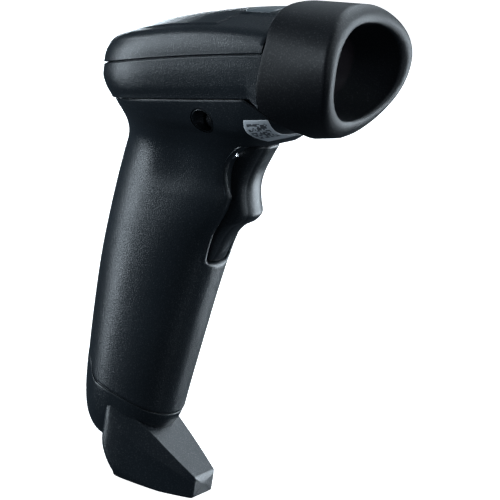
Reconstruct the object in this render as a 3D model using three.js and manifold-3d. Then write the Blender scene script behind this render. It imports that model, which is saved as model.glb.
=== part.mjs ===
// Handheld barcode scanner: pistol grip, pitched head with a deep nose hood, trigger and a standing foot.
// Millimetres, +X forward (out of the nose), +Y to the left, +Z up; the foot's flat underside is Z = 0.
import * as THREE from 'three';
import { ParametricGeometry } from 'three/addons/geometries/ParametricGeometry.js';
import { mergeVertices } from 'three/addons/utils/BufferGeometryUtils.js';
import Module from 'manifold-3d';

const wasm = await Module();
wasm.setup();

// ---------------------------------------------------------------- driving dimensions

const GAP = 0.3; // clearance left between neighbouring pieces
const WALL = 2.2; // moulded wall thickness
const BOX_CENTRE_X = -11.85; // middle of the overall length, measured in the design frame
const HEAD_PITCH = THREE.MathUtils.degToRad(13); // nose-up pitch of the head on the grip
const HEAD_DATUM = 86; // height of the head frame's origin
const FAR = 90; // reach of a cutting solid past the part

const LOWER_SEAM = 50.7; // head frame height of the joint between grip and head housing
const UPPER_SEAM = 64.8; // the same of the joint between head housing and top cover, at the hood
const SEAM_SAG = 0.0007; // how fast the upper joint drops towards the rear
const SEAM_FRONT = 23; // head frame X at which it is highest
const PLAN_CENTRE = -5; // head frame X about which the plan outline is drawn
const PLAN_FRONT = 60; // the plan outline's reach ahead of its centre, before the hood cuts it
const PLAN_POWER = 4; // squareness of the plan outline

const AROUND = 28; // steps round a section
const COVER_AROUND = 36; // steps round the head's plan outline

// ---------------------------------------------------------------- finishes

const finish = (color, roughness, metalness = 0) =>
  new THREE.MeshStandardMaterial({ color, roughness, metalness });

const HOUSING = finish('#1b2127', 0.5);
const HOOD = finish('#14181d', 0.6);
const TRIGGER = finish('#1d2329', 0.42);
const WINDOW = finish('#120c10', 0.08);
const LENS = finish('#a9b2b8', 0.3);
const GASKET = finish('#0b0c0e', 0.85);
const LABEL = finish('#8c9298', 0.6);
const STEEL = finish('#7d8288', 0.35, 1);
const GOLD = finish('#c9a24a', 0.3, 1);
const BOARD = finish('#1f5a3c', 0.55);
const CHIP = finish('#17181a', 0.5);
const CAN = finish('#9a9fa5', 0.35, 1);
const ENGINE = finish('#2a2d31', 0.5);
const GLASS = finish('#2f3a52', 0.05);
const CELL = finish('#2f6f8f', 0.45);
const FRAME = finish('#3a3f45', 0.6);
const FLEX = finish('#b06a2c', 0.4);
const LED = finish('#e8e2c8', 0.3);

// ---------------------------------------------------------------- solids

/** Turns a closed geometry into a solid, with its shared corners merged and flat triangles dropped. */
function solid(geometry) {
  const bare = geometry.clone();
  bare.deleteAttribute('normal');
  bare.deleteAttribute('uv');
  const merged = mergeVertices(bare, 1e-4);
  const corner = merged.index.array;
  const triangles = [];
  for (let i = 0; i < corner.length; i += 3) {
    const [a, b, c] = [corner[i], corner[i + 1], corner[i + 2]];
    if (a !== b && b !== c && c !== a) triangles.push(a, b, c);
  }
  return new wasm.Manifold(new wasm.Mesh({
    numProp: 3,
    vertProperties: merged.attributes.position.array,
    triVerts: Uint32Array.from(triangles),
  }));
}

/** Turns a solid back into a geometry. */
function geometryOf(body) {
  const mesh = body.getMesh();
  const geometry = new THREE.BufferGeometry();
  geometry.setAttribute('position', new THREE.BufferAttribute(mesh.vertProperties, mesh.numProp));
  geometry.setIndex(new THREE.BufferAttribute(mesh.triVerts, 1));
  geometry.computeVertexNormals();
  return geometry;
}

/** A named mesh of a solid. */
function piece(name, body, material) {
  const mesh = new THREE.Mesh(geometryOf(body), material);
  mesh.name = name;
  return mesh;
}

/** A box with its middle at a point. */
function box(size, centre, pitch = 0) {
  const geometry = new THREE.BoxGeometry(...size);
  return solid(geometry.rotateY(pitch).translate(...centre));
}

/** A cylinder with its middle at a point, along X, Y or Z. */
function rod(axis, radius, length, centre, sides = 24, endRadius = radius) {
  const geometry = new THREE.CylinderGeometry(endRadius, radius, length, sides);
  if (axis === 'x') geometry.rotateZ(-Math.PI / 2);
  if (axis === 'z') geometry.rotateX(Math.PI / 2);
  return solid(geometry.translate(...centre));
}

/** A side-view outline of [x, z] points, carried across the width from y0 to y1. */
function slab(points, y0 = -FAR, y1 = FAR) {
  const outline = new THREE.Shape(points.map(([x, z]) => new THREE.Vector2(x, z)));
  const geometry = new THREE.ExtrudeGeometry(outline, { depth: y1 - y0, bevelEnabled: false });
  return solid(geometry.rotateX(Math.PI / 2).translate(0, y1, 0));
}

/** A front-view outline of [y, z] points, carried from x0 to x1. */
function frontSlab(points, x0, x1) {
  const outline = new THREE.Shape(points.map(([y, z]) => new THREE.Vector2(y, z)));
  const geometry = new THREE.ExtrudeGeometry(outline, { depth: x1 - x0, bevelEnabled: false });
  return solid(geometry.rotateX(Math.PI / 2).rotateZ(Math.PI / 2).translate(x0, 0, 0));
}

/** A smooth side-view curve through [x, z] points, as a list of [x, z] points. */
function smooth(points, steps) {
  const curve = new THREE.SplineCurve(points.map(([x, z]) => new THREE.Vector2(x, z)));
  return curve.getPoints(steps).map((p) => [p.x, p.y]);
}

const signedPower = (value, power) => Math.sign(value) * Math.abs(value) ** power;

/** The unit superellipse at a share of the way round: 2 is an ellipse, larger is squarer. */
function superellipse(turn, power) {
  const angle = turn * 2 * Math.PI;
  return [signedPower(Math.cos(angle), 2 / power), signedPower(Math.sin(angle), 2 / power)];
}

/**
 * A closed loft. ring(t, turn, target) sets the point at share t of the length and share turn of
 * the way round; each end closes on the middle of its ring.
 */
function loft(ring, around, along) {
  const near = new THREE.Vector3();
  const opposite = new THREE.Vector3();
  const surface = (u, v, target) => {
    const row = Math.round(v * (along + 2)) - 1;
    const t = Math.min(Math.max(row, 0), along) / along;
    if (row >= 0 && row <= along) {
      ring(t, u === 1 ? 0 : u, target);
      return;
    }
    ring(t, 0, near);
    ring(t, 0.5, opposite);
    target.copy(near).add(opposite).multiplyScalar(0.5);
  };
  return new ParametricGeometry(surface, around, along + 2);
}

/** The linear blend of a table's columns at share t of its rows. */
function blend(rows, t) {
  const place = t * (rows.length - 1);
  const low = Math.min(Math.floor(place), rows.length - 2);
  return rows[low].map((value, i) => value + (rows[low + 1][i] - value) * (place - low));
}

// ---------------------------------------------------------------- frames

const headMatrix = new THREE.Matrix4().makeRotationY(-HEAD_PITCH).setPosition(0, 0, HEAD_DATUM);

/** A solid drawn in the head frame, carried into the grip's frame. */
const fromHead = (body) => body.transform(headMatrix.toArray());

/** A point of the grip's side view, [x, z], from one of the head frame. */
function headPoint(x, z) {
  const p = new THREE.Vector3(x, 0, z).applyMatrix4(headMatrix);
  return [p.x, p.z];
}

// ---------------------------------------------------------------- grip

// Matching points of the grip's rear and front lines in side view, with the half width and
// squareness of the section between them, from the bottom up.
const GRIP = [
  { rear: [-50.9, 22], front: [-17.7, 20], half: 13.7, power: 2.3 },
  { rear: [-51.8, 37], front: [-16.1, 35], half: 14.8, power: 2.3 },
  { rear: [-52.4, 54], front: [-13.7, 53], half: 15.5, power: 2.3 },
  { rear: [-52.4, 72], front: [-11.2, 71], half: 15.9, power: 2.35 },
  { rear: [-51.7, 86], front: [-8.2, 86], half: 15.8, power: 2.4 },
  { rear: [-50.7, 98], front: [-2.4, 98], half: 15.6, power: 2.5 },
  { rear: [-49.5, 108], front: [-0.2, 109], half: 15.8, power: 2.5 },
  { rear: [-48.2, 114.5], front: [2, 118], half: 17.0, power: 2.6 },
  { rear: [-48.3, 119], front: [8.6, 125.4], half: 19.8, power: 2.8 },
  { rear: [-49.7, 122.8], front: [15.3, 131.6], half: 23.3, power: 3.0 },
  { rear: headPoint(-41.2, LOWER_SEAM), front: headPoint(30, LOWER_SEAM), half: 25.9, power: 3.2 },
  { rear: headPoint(-42.4, 56), front: headPoint(32, 56), half: 26.5, power: 3.2 },
];

const line = (key) => new THREE.SplineCurve(GRIP.map((row) => new THREE.Vector2(...row[key])));
const rearLine = line('rear');
const frontLine = line('front');
const gripSizes = GRIP.map((row) => [row.half, row.power]);

const GRIP_STEPS = 18;

/** The closed grip body, its sides and its front and rear drawn in by an inset each. */
function gripBody(sideInset, endInset) {
  return solid(loft((t, turn, target) => {
    const rear = rearLine.getPoint(t);
    const front = frontLine.getPoint(t);
    const [half, power] = blend(gripSizes, t);
    const [c, s] = superellipse(turn, power);
    const depth = front.clone().sub(rear);
    const reach = (depth.length() / 2 - endInset) * c;
    depth.normalize();
    target.set(
      (rear.x + front.x) / 2 + depth.x * reach,
      (half - sideInset) * s,
      (rear.y + front.y) / 2 + depth.y * reach,
    );
  }, AROUND, GRIP_STEPS));
}

const gripOuter = gripBody(0, 0);
const gripInner = gripBody(WALL, WALL);

// The joint between grip and base cap: a tongue rises behind, then the line runs forward and down.
const CAP_SEAM = [[-70, 47.5], [-51, 40.2], [-45.6, 36.4], [-44.4, 33], [-42.6, 31], [-30, 28.4],
  [-16, 24.3], [10, 17]];

/** Everything above (or below) a side-view line, moved up by a lift. */
function beyond(points, lift, up) {
  const first = points[0];
  const last = points[points.length - 1];
  const edge = up ? FAR * 3 : -FAR;
  const outline = points.map(([x, z]) => [x, z + lift]);
  outline.push([last[0], edge], [first[0], edge]);
  return slab(outline);
}

// The recess that the trigger sits in: the edge of the cheeks in side view, from the top down.
const RECESS_EDGE = smooth([[3.4, 122.8], [-1.1, 121.2], [-5.2, 116.4], [-6.3, 111.5],
  [-5.4, 105.6], [-3.9, 101.8], [-4.9, 98.4], [-8, 93.4], [-10, 88.2], [-9.8, 83.6],
  [-7.4, 79.2]], 18);
const SLOT_BOTTOM = -14.5; // how far back the slot behind the trigger reaches

const HOOD_DIAGONAL = [[-60, LOWER_SEAM], [16.1, LOWER_SEAM], [28.3, 38.8], [60, 38.8]];
const SIDE_SCREW = [-11.8, 128.4]; // side-view place of the side screws
const SCREW_WELL = 3.8; // radius of a side screw's well
const SCREW_HOLE = 1.6; // radius of the hole a side screw passes
const SCREW_SEAT = 13.5; // half width at the bottom of a screw well
const BOSS_WALL = 1.6; // wall round a screw well and under its bottom

const TRIGGER_HALF = 6.8; // half width of the trigger
const TRIGGER_TAIL_HALF = 5; // half width at the foot of its tail
const TRIGGER_SPAN = [79.6, 95, 122.4]; // heights of the tail's foot, its top and the trigger's top
const TRIGGER_SIDE_GAP = 1.8; // room beside the trigger
const TRIGGER_PIVOT = [-5.2, 118.2]; // side-view place of the trigger's pin
const PIN_RADIUS = 1.5;
const PIN_LENGTH = 25;

/** The trigger's outline from the front, grown by a margin. */
function triggerFront(margin) {
  const [foot, shoulder, top] = TRIGGER_SPAN;
  const wide = TRIGGER_HALF + margin;
  const narrow = TRIGGER_TAIL_HALF + margin;
  const low = foot - margin / 2;
  const high = top + margin / 2;
  const right = [[-wide, high], [-wide, shoulder], [-narrow, low]];
  return [...right, ...right.map(([y, z]) => [-y, z]).reverse()];
}

/** The grip's one-piece sleeve, open to the head above and to the base cap below. */
function gripShell() {
  const [x, z] = SIDE_SCREW;
  const boss = rod('y', SCREW_WELL + BOSS_WALL, FAR, [x, 0, z]).intersect(gripOuter);
  const keepOut = rod('y', FAR / 4, 2 * (SCREW_SEAT - BOSS_WALL), [x, 0, z]);
  const bosses = boss.subtract(keepOut);
  const ceiling = HOOD_DIAGONAL.map(([hx, hz]) => [hx, hz - GAP / 2]);
  const above = slab([...ceiling, [60, FAR * 2], [-60, FAR * 2]]);
  const recess = slab([...RECESS_EDGE, [30, 79.2], [30, 122.8]]);
  const slot = frontSlab(triggerFront(TRIGGER_SIDE_GAP), SLOT_BOTTOM, FAR);
  let shell = gripOuter.subtract(gripInner).add(bosses);
  shell = shell.subtract(rod('y', SCREW_HOLE, FAR, [x, 0, z], 16));
  const [pinX, pinZ] = TRIGGER_PIVOT;
  shell = shell.subtract(rod('y', PIN_RADIUS + 0.2, PIN_LENGTH + 2 * GAP, [pinX, 0, pinZ], 16));
  for (const side of [-1, 1]) {
    const depth = 30;
    shell = shell.subtract(rod('y', SCREW_WELL, depth, [x, side * (SCREW_SEAT + depth / 2), z]));
  }
  return shell
    .subtract(fromHead(above))
    .subtract(recess)
    .subtract(slot)
    .subtract(beyond(CAP_SEAM, GAP / 2, false));
}

// The rating label's corners in the head's side view.
const LABEL_OUTLINE = [[13.6, 44.4], [21.2, 44.4], [27.2, 38.6], [18.8, 37.6], [15.2, 40.4]];

/** The label: a thin film that follows the right cheek under the hood. */
function ratingLabel() {
  const film = gripBody(-0.36, -0.36).subtract(gripBody(-0.12, -0.12));
  return film.intersect(fromHead(slab(LABEL_OUTLINE, -FAR, -4)));
}

// ---------------------------------------------------------------- head housing and top cover

// Side wall of the head from the lower seam to the upper: half width and rearmost X.
const HEAD_SIDE = [[25.2, -41.0], [26.5, -42.5], [27.1, -43.4], [27.0, -42.9]];
const COVER_TOP = [24.7, -39.4]; // the same where the cover's side wall meets its roof

/** The head's plan outline at a half width and rearmost X, drawn in by an inset. */
function planPoint(turn, half, rear, inset) {
  const [c, s] = superellipse(turn, PLAN_POWER);
  const reach = c > 0 ? PLAN_FRONT : PLAN_CENTRE - rear - inset;
  return [PLAN_CENTRE + reach * c, (half - inset) * s];
}

/** The height of the roof: a crown along the middle with a fall to each side. */
function roof(x, y) {
  const crown = 77.8 - 0.0031 * (x - 8) ** 2;
  const fall = (0.3 + 0.005 * x) * Math.max(0, Math.abs(y) - 10);
  return crown - fall;
}

const hoodSeam = [[23.4, FAR], [23.4, 68], [19.6, 54], [19.4, 44], [19.4, 0]]; // head side view

/** Everything ahead of the joint between the hood and the rest of the head, moved by a shift. */
function aheadOfSeam(shift) {
  return slab([...hoodSeam.map(([x, z]) => [x + shift, z]), [FAR, 0], [FAR, FAR]]);
}

/** The height of the upper seam. */
const upperSeam = (x) => UPPER_SEAM - SEAM_SAG * (x - SEAM_FRONT) ** 2;

/** A closed block that follows the head's side wall from a floor up to the upper seam and a lift. */
function housingBlock(inset, bottom, lift) {
  return solid(loft((t, turn, target) => {
    const [half, rear] = blend(HEAD_SIDE, t);
    const [x, y] = planPoint(turn, half, rear, inset);
    target.set(x, y, bottom + (upperSeam(x) + lift - bottom) * t);
  }, COVER_AROUND, 6));
}

const FLOOR = 2; // thickness of the head housing's floor
const FLOOR_HOLE = [34, 18]; // length and width of the way down into the grip
const LUG_LENGTH = 8; // fore-and-aft length of the lugs that the side screws run into
const LUG_MIDDLE = 10.4; // half distance between the lugs' middles

/** The middle housing of the head: a tray with lugs that reach down to the side screws. */
function headHousing() {
  const outer = housingBlock(0, LOWER_SEAM + GAP / 2, -GAP / 2);
  const inner = housingBlock(WALL, LOWER_SEAM + FLOOR, 3);
  const hole = box([FLOOR_HOLE[0], FLOOR_HOLE[1], 20], [-15, 0, LOWER_SEAM]);
  const [x, z] = SIDE_SCREW;
  let body = outer.subtract(inner).subtract(hole);
  const inverse = headMatrix.clone().invert();
  const eye = new THREE.Vector3(x, 0, z).applyMatrix4(inverse);
  const lugTop = LOWER_SEAM + 1;
  const lugFoot = eye.z - LUG_LENGTH / 2;
  for (const side of [-1, 1]) {
    const middle = [eye.x, side * LUG_MIDDLE, (lugTop + lugFoot) / 2];
    body = body.add(box([LUG_LENGTH, 2, lugTop - lugFoot], middle));
  }
  body = body.subtract(rod('y', SCREW_HOLE - 0.3, FAR, [eye.x, 0, eye.z], 16));
  return body.subtract(aheadOfSeam(-GAP / 2));
}

/** A closed dome from the upper seam and a lift to the cover's roof, drawn in by an inset. */
function coverDome(inset, lift) {
  const sideRows = 3;
  const roofScale = [0.965, 0.82, 0.55, 0.25, 0.02];
  const rows = sideRows + roofScale.length;
  const [seamHalf, seamRear] = HEAD_SIDE[HEAD_SIDE.length - 1];
  return solid(loft((t, turn, target) => {
    const row = Math.round(t * rows);
    const up = Math.min(row / sideRows, 1);
    const scale = row > sideRows ? roofScale[row - sideRows - 1] : 1;
    const half = seamHalf + (COVER_TOP[0] - seamHalf) * up;
    const rear = seamRear + (COVER_TOP[1] - seamRear) * up;
    const [px, py] = planPoint(turn, half, rear, inset);
    const x = PLAN_CENTRE + (px - PLAN_CENTRE) * scale;
    const y = py * scale;
    const edge = roof(px, py) - 1.3 - inset;
    const bottom = upperSeam(px) + lift;
    target.set(x, y, row > sideRows ? roof(x, y) - inset : bottom + (edge - bottom) * up);
  }, COVER_AROUND, rows));
}

const LENS_SPAN = [8, 18.6]; // the status lens from rear to front, head frame
const LENS_HALF = 7.5;

/** The top cover: a domed lid with a slot for the status lens. */
function topCover() {
  const shell = coverDome(0, GAP / 2).subtract(coverDome(WALL, -2));
  const [rear, front] = LENS_SPAN;
  const slot = box([front - rear, 2 * LENS_HALF, 20], [(rear + front) / 2, 0, 76]);
  return shell.subtract(slot).subtract(aheadOfSeam(-GAP / 2));
}

/** The status lens: a clear bar that fills the slot flush with the roof. */
function statusLens() {
  const [rear, front] = LENS_SPAN;
  const bar = box([front - rear - 2 * GAP, 2 * (LENS_HALF - GAP), 4], [(rear + front) / 2, 0, 76.4]);
  return bar.intersect(coverDome(-0.1, 0));
}

// ---------------------------------------------------------------- nose hood

const HOOD_MIDDLE = 59.8; // head frame height of the hood's widest line
const RIM_CROWN = 66; // head frame height at which the rim reaches furthest forward
const RIM_REACH = 47.2;
const RIM_BEND = 0.0145; // how fast the rim falls back above and below its crown
const LIP = 6; // thickness of the lip
const CAVITY_FLOOR = 27.8; // head frame X of the bottom of the hood's mouth
const WINDOW_LEAN = 0.22; // forward lean of the window per millimetre of height

/** The hood's section: half width, rise above and drop below its widest line at a share forward. */
function hoodSection(t, inset) {
  const half = 27.8 + 1.3 * t;
  const rise = 20.9 - 2.4 * t;
  const drop = 23.6 - 0.6 * t;
  return [half - inset, rise - inset, drop - inset];
}

/** A point of the hood's section outline, [y, z]. */
function hoodOutline(turn, t, inset) {
  const [half, rise, drop] = hoodSection(t, inset);
  const above = turn < 0.5;
  const [c, s] = superellipse(turn, above ? 2.25 : 2.6);
  return [half * c, HOOD_MIDDLE + (above ? rise : drop) * s];
}

const rimAt = (z) => RIM_REACH - RIM_BEND * (z - RIM_CROWN) ** 2;

/** The hood's closed outer body from behind the seam to the rounded lip. */
function hoodBody() {
  const back = 12;
  const rows = [[0, 0], [0.45, 0], [0.85, 0], [0.95, 0.3], [0.985, 1], [1, 2.2]];
  return solid(loft((t, turn, target) => {
    const [share, inset] = rows[Math.round(t * (rows.length - 1))];
    const [y, z] = hoodOutline(turn, share, inset);
    target.set(back + (rimAt(z) - back) * share, y, z);
  }, AROUND, rows.length - 1));
}

/** The hood's mouth: a funnel from past the rim down to the window. */
function hoodMouth() {
  const rows = [[0, LIP + 3], [0.5, LIP + 1.2], [0.88, LIP], [0.98, LIP - 0.8], [1.2, LIP - 2.2]];
  return solid(loft((t, turn, target) => {
    const [share, inset] = rows[Math.round(t * (rows.length - 1))];
    const [y, z] = hoodOutline(turn, 0.9, inset);
    const floor = CAVITY_FLOOR + WINDOW_LEAN * (z - HOOD_MIDDLE);
    target.set(floor + (rimAt(z) - floor) * share, y, z);
  }, AROUND, rows.length - 1));
}

/** A plate across the bottom of the mouth: its outline's inset, and its rear and front X. */
function mouthPlate(inset, rear, front) {
  return solid(loft((t, turn, target) => {
    const [y, z] = hoodOutline(turn, 0.9, inset);
    target.set(rear + (front - rear) * t + WINDOW_LEAN * (z - HOOD_MIDDLE), y, z);
  }, AROUND, 1));
}

/** The back of the hood is hollow for the scan engine's nose. */
function hoodBackHollow() {
  return solid(loft((t, turn, target) => {
    const [y, z] = hoodOutline(turn, 0.2, WALL);
    target.set(22.8 * t + 0.15 * (z - HOOD_MIDDLE) * t, y, z);
  }, AROUND, 1));
}

/** The nose hood with its mouth, back hollow and the way between them that the window closes. */
function noseHood() {
  const under = [[-60, LOWER_SEAM], [16.1, LOWER_SEAM], [28.3, 38.8], [28.3, 0], [-60, 0]];
  const below = slab(under.map(([x, z]) => [x + GAP / 2, z + GAP / 2]));
  const behind = slab([[-60, 0], [-60, FAR], ...hoodSeam.map(([x, z]) => [x + GAP / 2, z])]);
  return hoodBody()
    .subtract(hoodMouth())
    .subtract(hoodBackHollow())
    .subtract(mouthPlate(LIP + 6, 16, CAVITY_FLOOR + 4))
    .subtract(behind)
    .subtract(below);
}

const scanWindow = () => mouthPlate(LIP + 3.3, CAVITY_FLOOR + 0.9, CAVITY_FLOOR + 2.3);

/** The seal between the window and the hood: a thin ring. */
function windowGasket() {
  const plate = mouthPlate(LIP + 3.6, CAVITY_FLOOR + 0.3, CAVITY_FLOOR + 0.7);
  return plate.subtract(mouthPlate(LIP + 6, 16, 45));
}

// ---------------------------------------------------------------- trigger

const TRIGGER_ROUND = 1.2; // rounding of the trigger's edges
const TRIGGER_FACE = 2.4; // thickness of its face
const TRIGGER_WALL = 1.8; // thickness of its side walls
const TRIGGER_HOLLOW = [84, 112.5]; // heights that it is hollow between

// Front of the trigger in side view, from the top down: scoop, knob and tail.
const TRIGGER_FRONT = smooth([[2.8, 120.9], [0.7, 115.9], [-0.8, 111.4], [-1.4, 106.8],
  [-0.6, 102.2], [0.5, 98.9], [0.3, 97.1], [-1.4, 95], [-4.2, 93], [-6.4, 90], [-7.9, 86.6],
  [-9, 83], [-9.8, 81.2]], 28);
const TRIGGER_BACK = smooth([[-12.8, 81.2], [-13.6, 86], [-12.6, 92], [-10.2, 99], [-10.2, 107],
  [-10.4, 114], [-9.2, 119.2], [-4.6, 120.9]], 12);

/** The trigger: a curved face with side walls, hollow behind, hung on its pin. */
function trigger() {
  const [px, pz] = TRIGGER_PIVOT;
  const core = TRIGGER_FRONT.map(([x, z]) => [x - TRIGGER_ROUND, z])
    .concat(TRIGGER_BACK.map(([x, z]) => [x + TRIGGER_ROUND, z]));
  const outline = new THREE.Shape(core.map(([x, z]) => new THREE.Vector2(x, z)));
  const bevel = { bevelThickness: 1.8, bevelSize: TRIGGER_ROUND, bevelSegments: 2 };
  const depth = 2 * (TRIGGER_HALF - bevel.bevelThickness);
  const block = new THREE.ExtrudeGeometry(outline, { depth, ...bevel });
  block.rotateX(Math.PI / 2).translate(0, depth / 2, 0);
  const [low, high] = TRIGGER_HOLLOW;
  const behindFace = TRIGGER_FRONT.filter(([, z]) => z > low && z < high)
    .map(([x, z]) => [x - TRIGGER_FACE, z]);
  const within = TRIGGER_HALF - TRIGGER_WALL;
  const hollow = slab([...behindFace, [-30, low], [-30, high]], -within, within);
  const rib = box([6.2, 3, 3], [-5.5, 0, 107]);
  const inside = frontSlab(triggerFront(0), -30, 30);
  const springRoom = rod('y', 3.8, 5.6, [px, 0, pz], 20)
    .add(box([4.4, 5.6, 9], [px - 2.6, 0, pz - 4]));
  return solid(block).intersect(inside).subtract(hollow).add(rib).subtract(springRoom)
    .subtract(rod('y', PIN_RADIUS + 0.25, FAR, [px, 0, pz], 20));
}

/** The pin that the trigger turns on, held by the grip's cheeks. */
function triggerPin() {
  const [px, pz] = TRIGGER_PIVOT;
  return rod('y', PIN_RADIUS, PIN_LENGTH, [px, 0, pz], 16);
}

/** The trigger's return spring: a coil round the pin, with a leg down the trigger's back. */
function triggerSpring() {
  const [px, pz] = TRIGGER_PIVOT;
  const wire = 0.45;
  const coilRadius = 2.7;
  const turns = 3;
  const pitch = 1.2;
  const points = [];
  const steps = turns * 8;
  for (let i = 0; i <= steps; i += 1) {
    const angle = (i / steps) * turns * 2 * Math.PI - Math.PI / 2;
    const along = (i / steps - 0.5) * turns * pitch;
    const across = coilRadius * Math.sin(angle);
    points.push(new THREE.Vector3(px + across, along, pz + coilRadius * Math.cos(angle)));
  }
  const last = points[points.length - 1];
  points.push(new THREE.Vector3(last.x - 0.2, last.y, last.z - 3));
  points.push(new THREE.Vector3(last.x - 0.2, last.y, last.z - 6));
  const route = new THREE.CatmullRomCurve3(points);
  const section = new THREE.Shape(new THREE.EllipseCurve(0, 0, wire, wire).getPoints(6).slice(0, -1));
  return solid(new THREE.ExtrudeGeometry(section, { steps: points.length + 6, extrudePath: route }));
}

// ---------------------------------------------------------------- base cap and foot

const FOOT_TIP = [-3, 7.6]; // top of the foot's tip in side view
const FOOT_TOP = [-31, 25]; // where the foot's top facet meets the collar's side
const FOOT_SIDE = [[-38.6, 24], [-38.2, 11.6], [-36.4, 7.2], [-33.8, 3.6], [-31, 1], [-28.4, 0], [-4.6, 0],
  [-3.2, 1.4], FOOT_TIP, FOOT_TOP];
const FOOT_PLAN = [[-39.5, 0], [-38.6, 6], [-36, 11], [-31.5, 13.3], [-22, 12], [-12, 9.6],
  [-3.4, 6.5], [-2, 0]];
const FOOT_PLAN_HALF = 13; // half width that the plan is scaled from when it is drawn in
const FOOT_PLAN_X = -22; // X that it is drawn in towards
// Three corners of the slanted facet between the foot's top and its right side.
const FOOT_FACET = [[-26, -12.6, 15], [-3.1, -6.5, 7.5], [-21.7, -9, 19.2]];
const CONTACT_X = [-20, -12]; // the charging contacts lie on the middle line
const CONTACT_HOLE = 1.8; // radius of the hole round a charging contact
const CAP_SCREW_X = -33;
const CAP_POST = 4; // radius of the post that the cap's screw runs in
const CAP_SCREW_WELL = 2.9;
const CAP_SCREW_BORE = 1.5;
const COLLAR_POWER = 2.3; // squareness of the collar's section

// The collar: matching rear and front points going down, with the half width between them.
const COLLAR = [
  { rear: [-52.1, 44], front: [-15.1, 42], half: 15.1 },
  { rear: [-51.8, 34], front: [-16.4, 32], half: 14.7 },
  { rear: [-51.2, 24.5], front: [-17.6, 24], half: 14.1 },
  { rear: [-49.6, 17.4], front: [-19.3, 20], half: 13.1 },
  { rear: [-46.2, 12.2], front: [-22, 17], half: 11.2 },
  { rear: [-41, 9.2], front: [-26, 15], half: 7.6 },
];

/** The collar's closed body, drawn in by an inset. */
function collarBody(inset) {
  const rear = new THREE.SplineCurve(COLLAR.map((row) => new THREE.Vector2(...row.rear)));
  const front = new THREE.SplineCurve(COLLAR.map((row) => new THREE.Vector2(...row.front)));
  const halves = COLLAR.map((row) => [row.half]);
  return solid(loft((t, turn, target) => {
    const r = rear.getPoint(t);
    const f = front.getPoint(t);
    const [half] = blend(halves, t);
    const [c, s] = superellipse(-turn, COLLAR_POWER);
    const share = (1 + c * (1 - 2 * inset / f.distanceTo(r))) / 2;
    target.set(r.x + (f.x - r.x) * share, (half - inset) * s, r.y + (f.y - r.y) * share);
  }, AROUND, 12));
}

/** The foot's closed body: its side view and its plan, both cut from one block. */
function footBody(inset) {
  const plan = new THREE.Shape(FOOT_PLAN.map(([x, y]) => new THREE.Vector2(x, y))
    .concat(FOOT_PLAN.slice(1, -1).reverse().map(([x, y]) => new THREE.Vector2(x, -y))));
  const column = new THREE.ExtrudeGeometry(plan, { depth: 60, bevelEnabled: false });
  const narrow = (FOOT_PLAN_HALF - inset) / FOOT_PLAN_HALF;
  column.translate(-FOOT_PLAN_X, 0, -10).scale(narrow, narrow, 1).translate(FOOT_PLAN_X, 0, 0);
  const side = slab(FOOT_SIDE.map(([x, z]) => [x, z + (z > 4 ? -inset : inset)]));
  let foot = solid(column).intersect(side);
  for (const mirror of [1, -1]) {
    const [a, b, c] = FOOT_FACET.map(([x, y, z]) => new THREE.Vector3(x, y * mirror, z));
    const normal = b.sub(a).cross(c.sub(a)).multiplyScalar(-mirror).normalize();
    foot = foot.trimByPlane(normal.toArray(), normal.dot(a) + inset);
  }
  return foot;
}

/** The base cap: a collar with a tongue behind, and the foot that the scanner stands and docks on. */
function baseCap() {
  const outer = collarBody(0).add(footBody(0));
  const hollow = collarBody(WALL).subtract(box([60, 60, 20], [-30, 0, 6]));
  const pocket = box([26, 9, 20], [-18, 0, 14]).intersect(footBody(WALL));
  const way = box([12, 9, 16], [-26, 0, 18]);
  const screwPost = rod('z', CAP_POST, 15, [CAP_SCREW_X, 0, 9.5], 20).intersect(outer);
  let body = outer
    .subtract(hollow)
    .subtract(pocket)
    .subtract(way)
    .subtract(beyond(CAP_SEAM, -GAP / 2, true));
  for (const x of CONTACT_X) body = body.subtract(rod('z', CONTACT_HOLE, 12, [x, 0, 0], 16));
  return body
    .add(screwPost)
    .subtract(rod('z', CAP_SCREW_WELL, 12, [CAP_SCREW_X, 0, 4], 20))
    .subtract(rod('z', CAP_SCREW_BORE, 60, [CAP_SCREW_X, 0, 30], 16));
}

/** A screw standing on its head, with a cross recess in the head. */
function screw(headRadius, shankRadius, headLength, shankLength) {
  const headBody = rod('z', headRadius, headLength, [0, 0, headLength / 2], 20);
  const shank = rod('z', shankRadius, shankLength, [0, 0, headLength + shankLength / 2 - 0.01], 12);
  const slot = headRadius * 1.2;
  const width = headRadius * 0.3;
  const cross = box([slot, width, 1.2], [0, 0, 0]).add(box([width, slot, 1.2], [0, 0, 0]));
  return headBody.add(shank).subtract(cross);
}

// ---------------------------------------------------------------- inside the grip

const CELL_RADIUS = 9;
const CELL_LENGTH = 64;
const CELL_FOOT = [-33.6, 33.5]; // side-view place of the bottom of the cell
const CELL_LEAN = THREE.MathUtils.degToRad(3);

/** The battery cell with its raised positive cap, standing on the origin. */
function batteryCell() {
  const edge = CELL_RADIUS - 0.6;
  const tip = CELL_LENGTH + 1;
  const profile = [[0, 0], [edge, 0], [CELL_RADIUS, 0.6], [CELL_RADIUS, CELL_LENGTH - 0.6],
    [edge, CELL_LENGTH], [3, CELL_LENGTH], [3, tip], [0, tip]];
  const turned = new THREE.LatheGeometry(profile.map(([r, z]) => new THREE.Vector2(r, z)), 28);
  return solid(turned.rotateX(Math.PI / 2));
}

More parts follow.
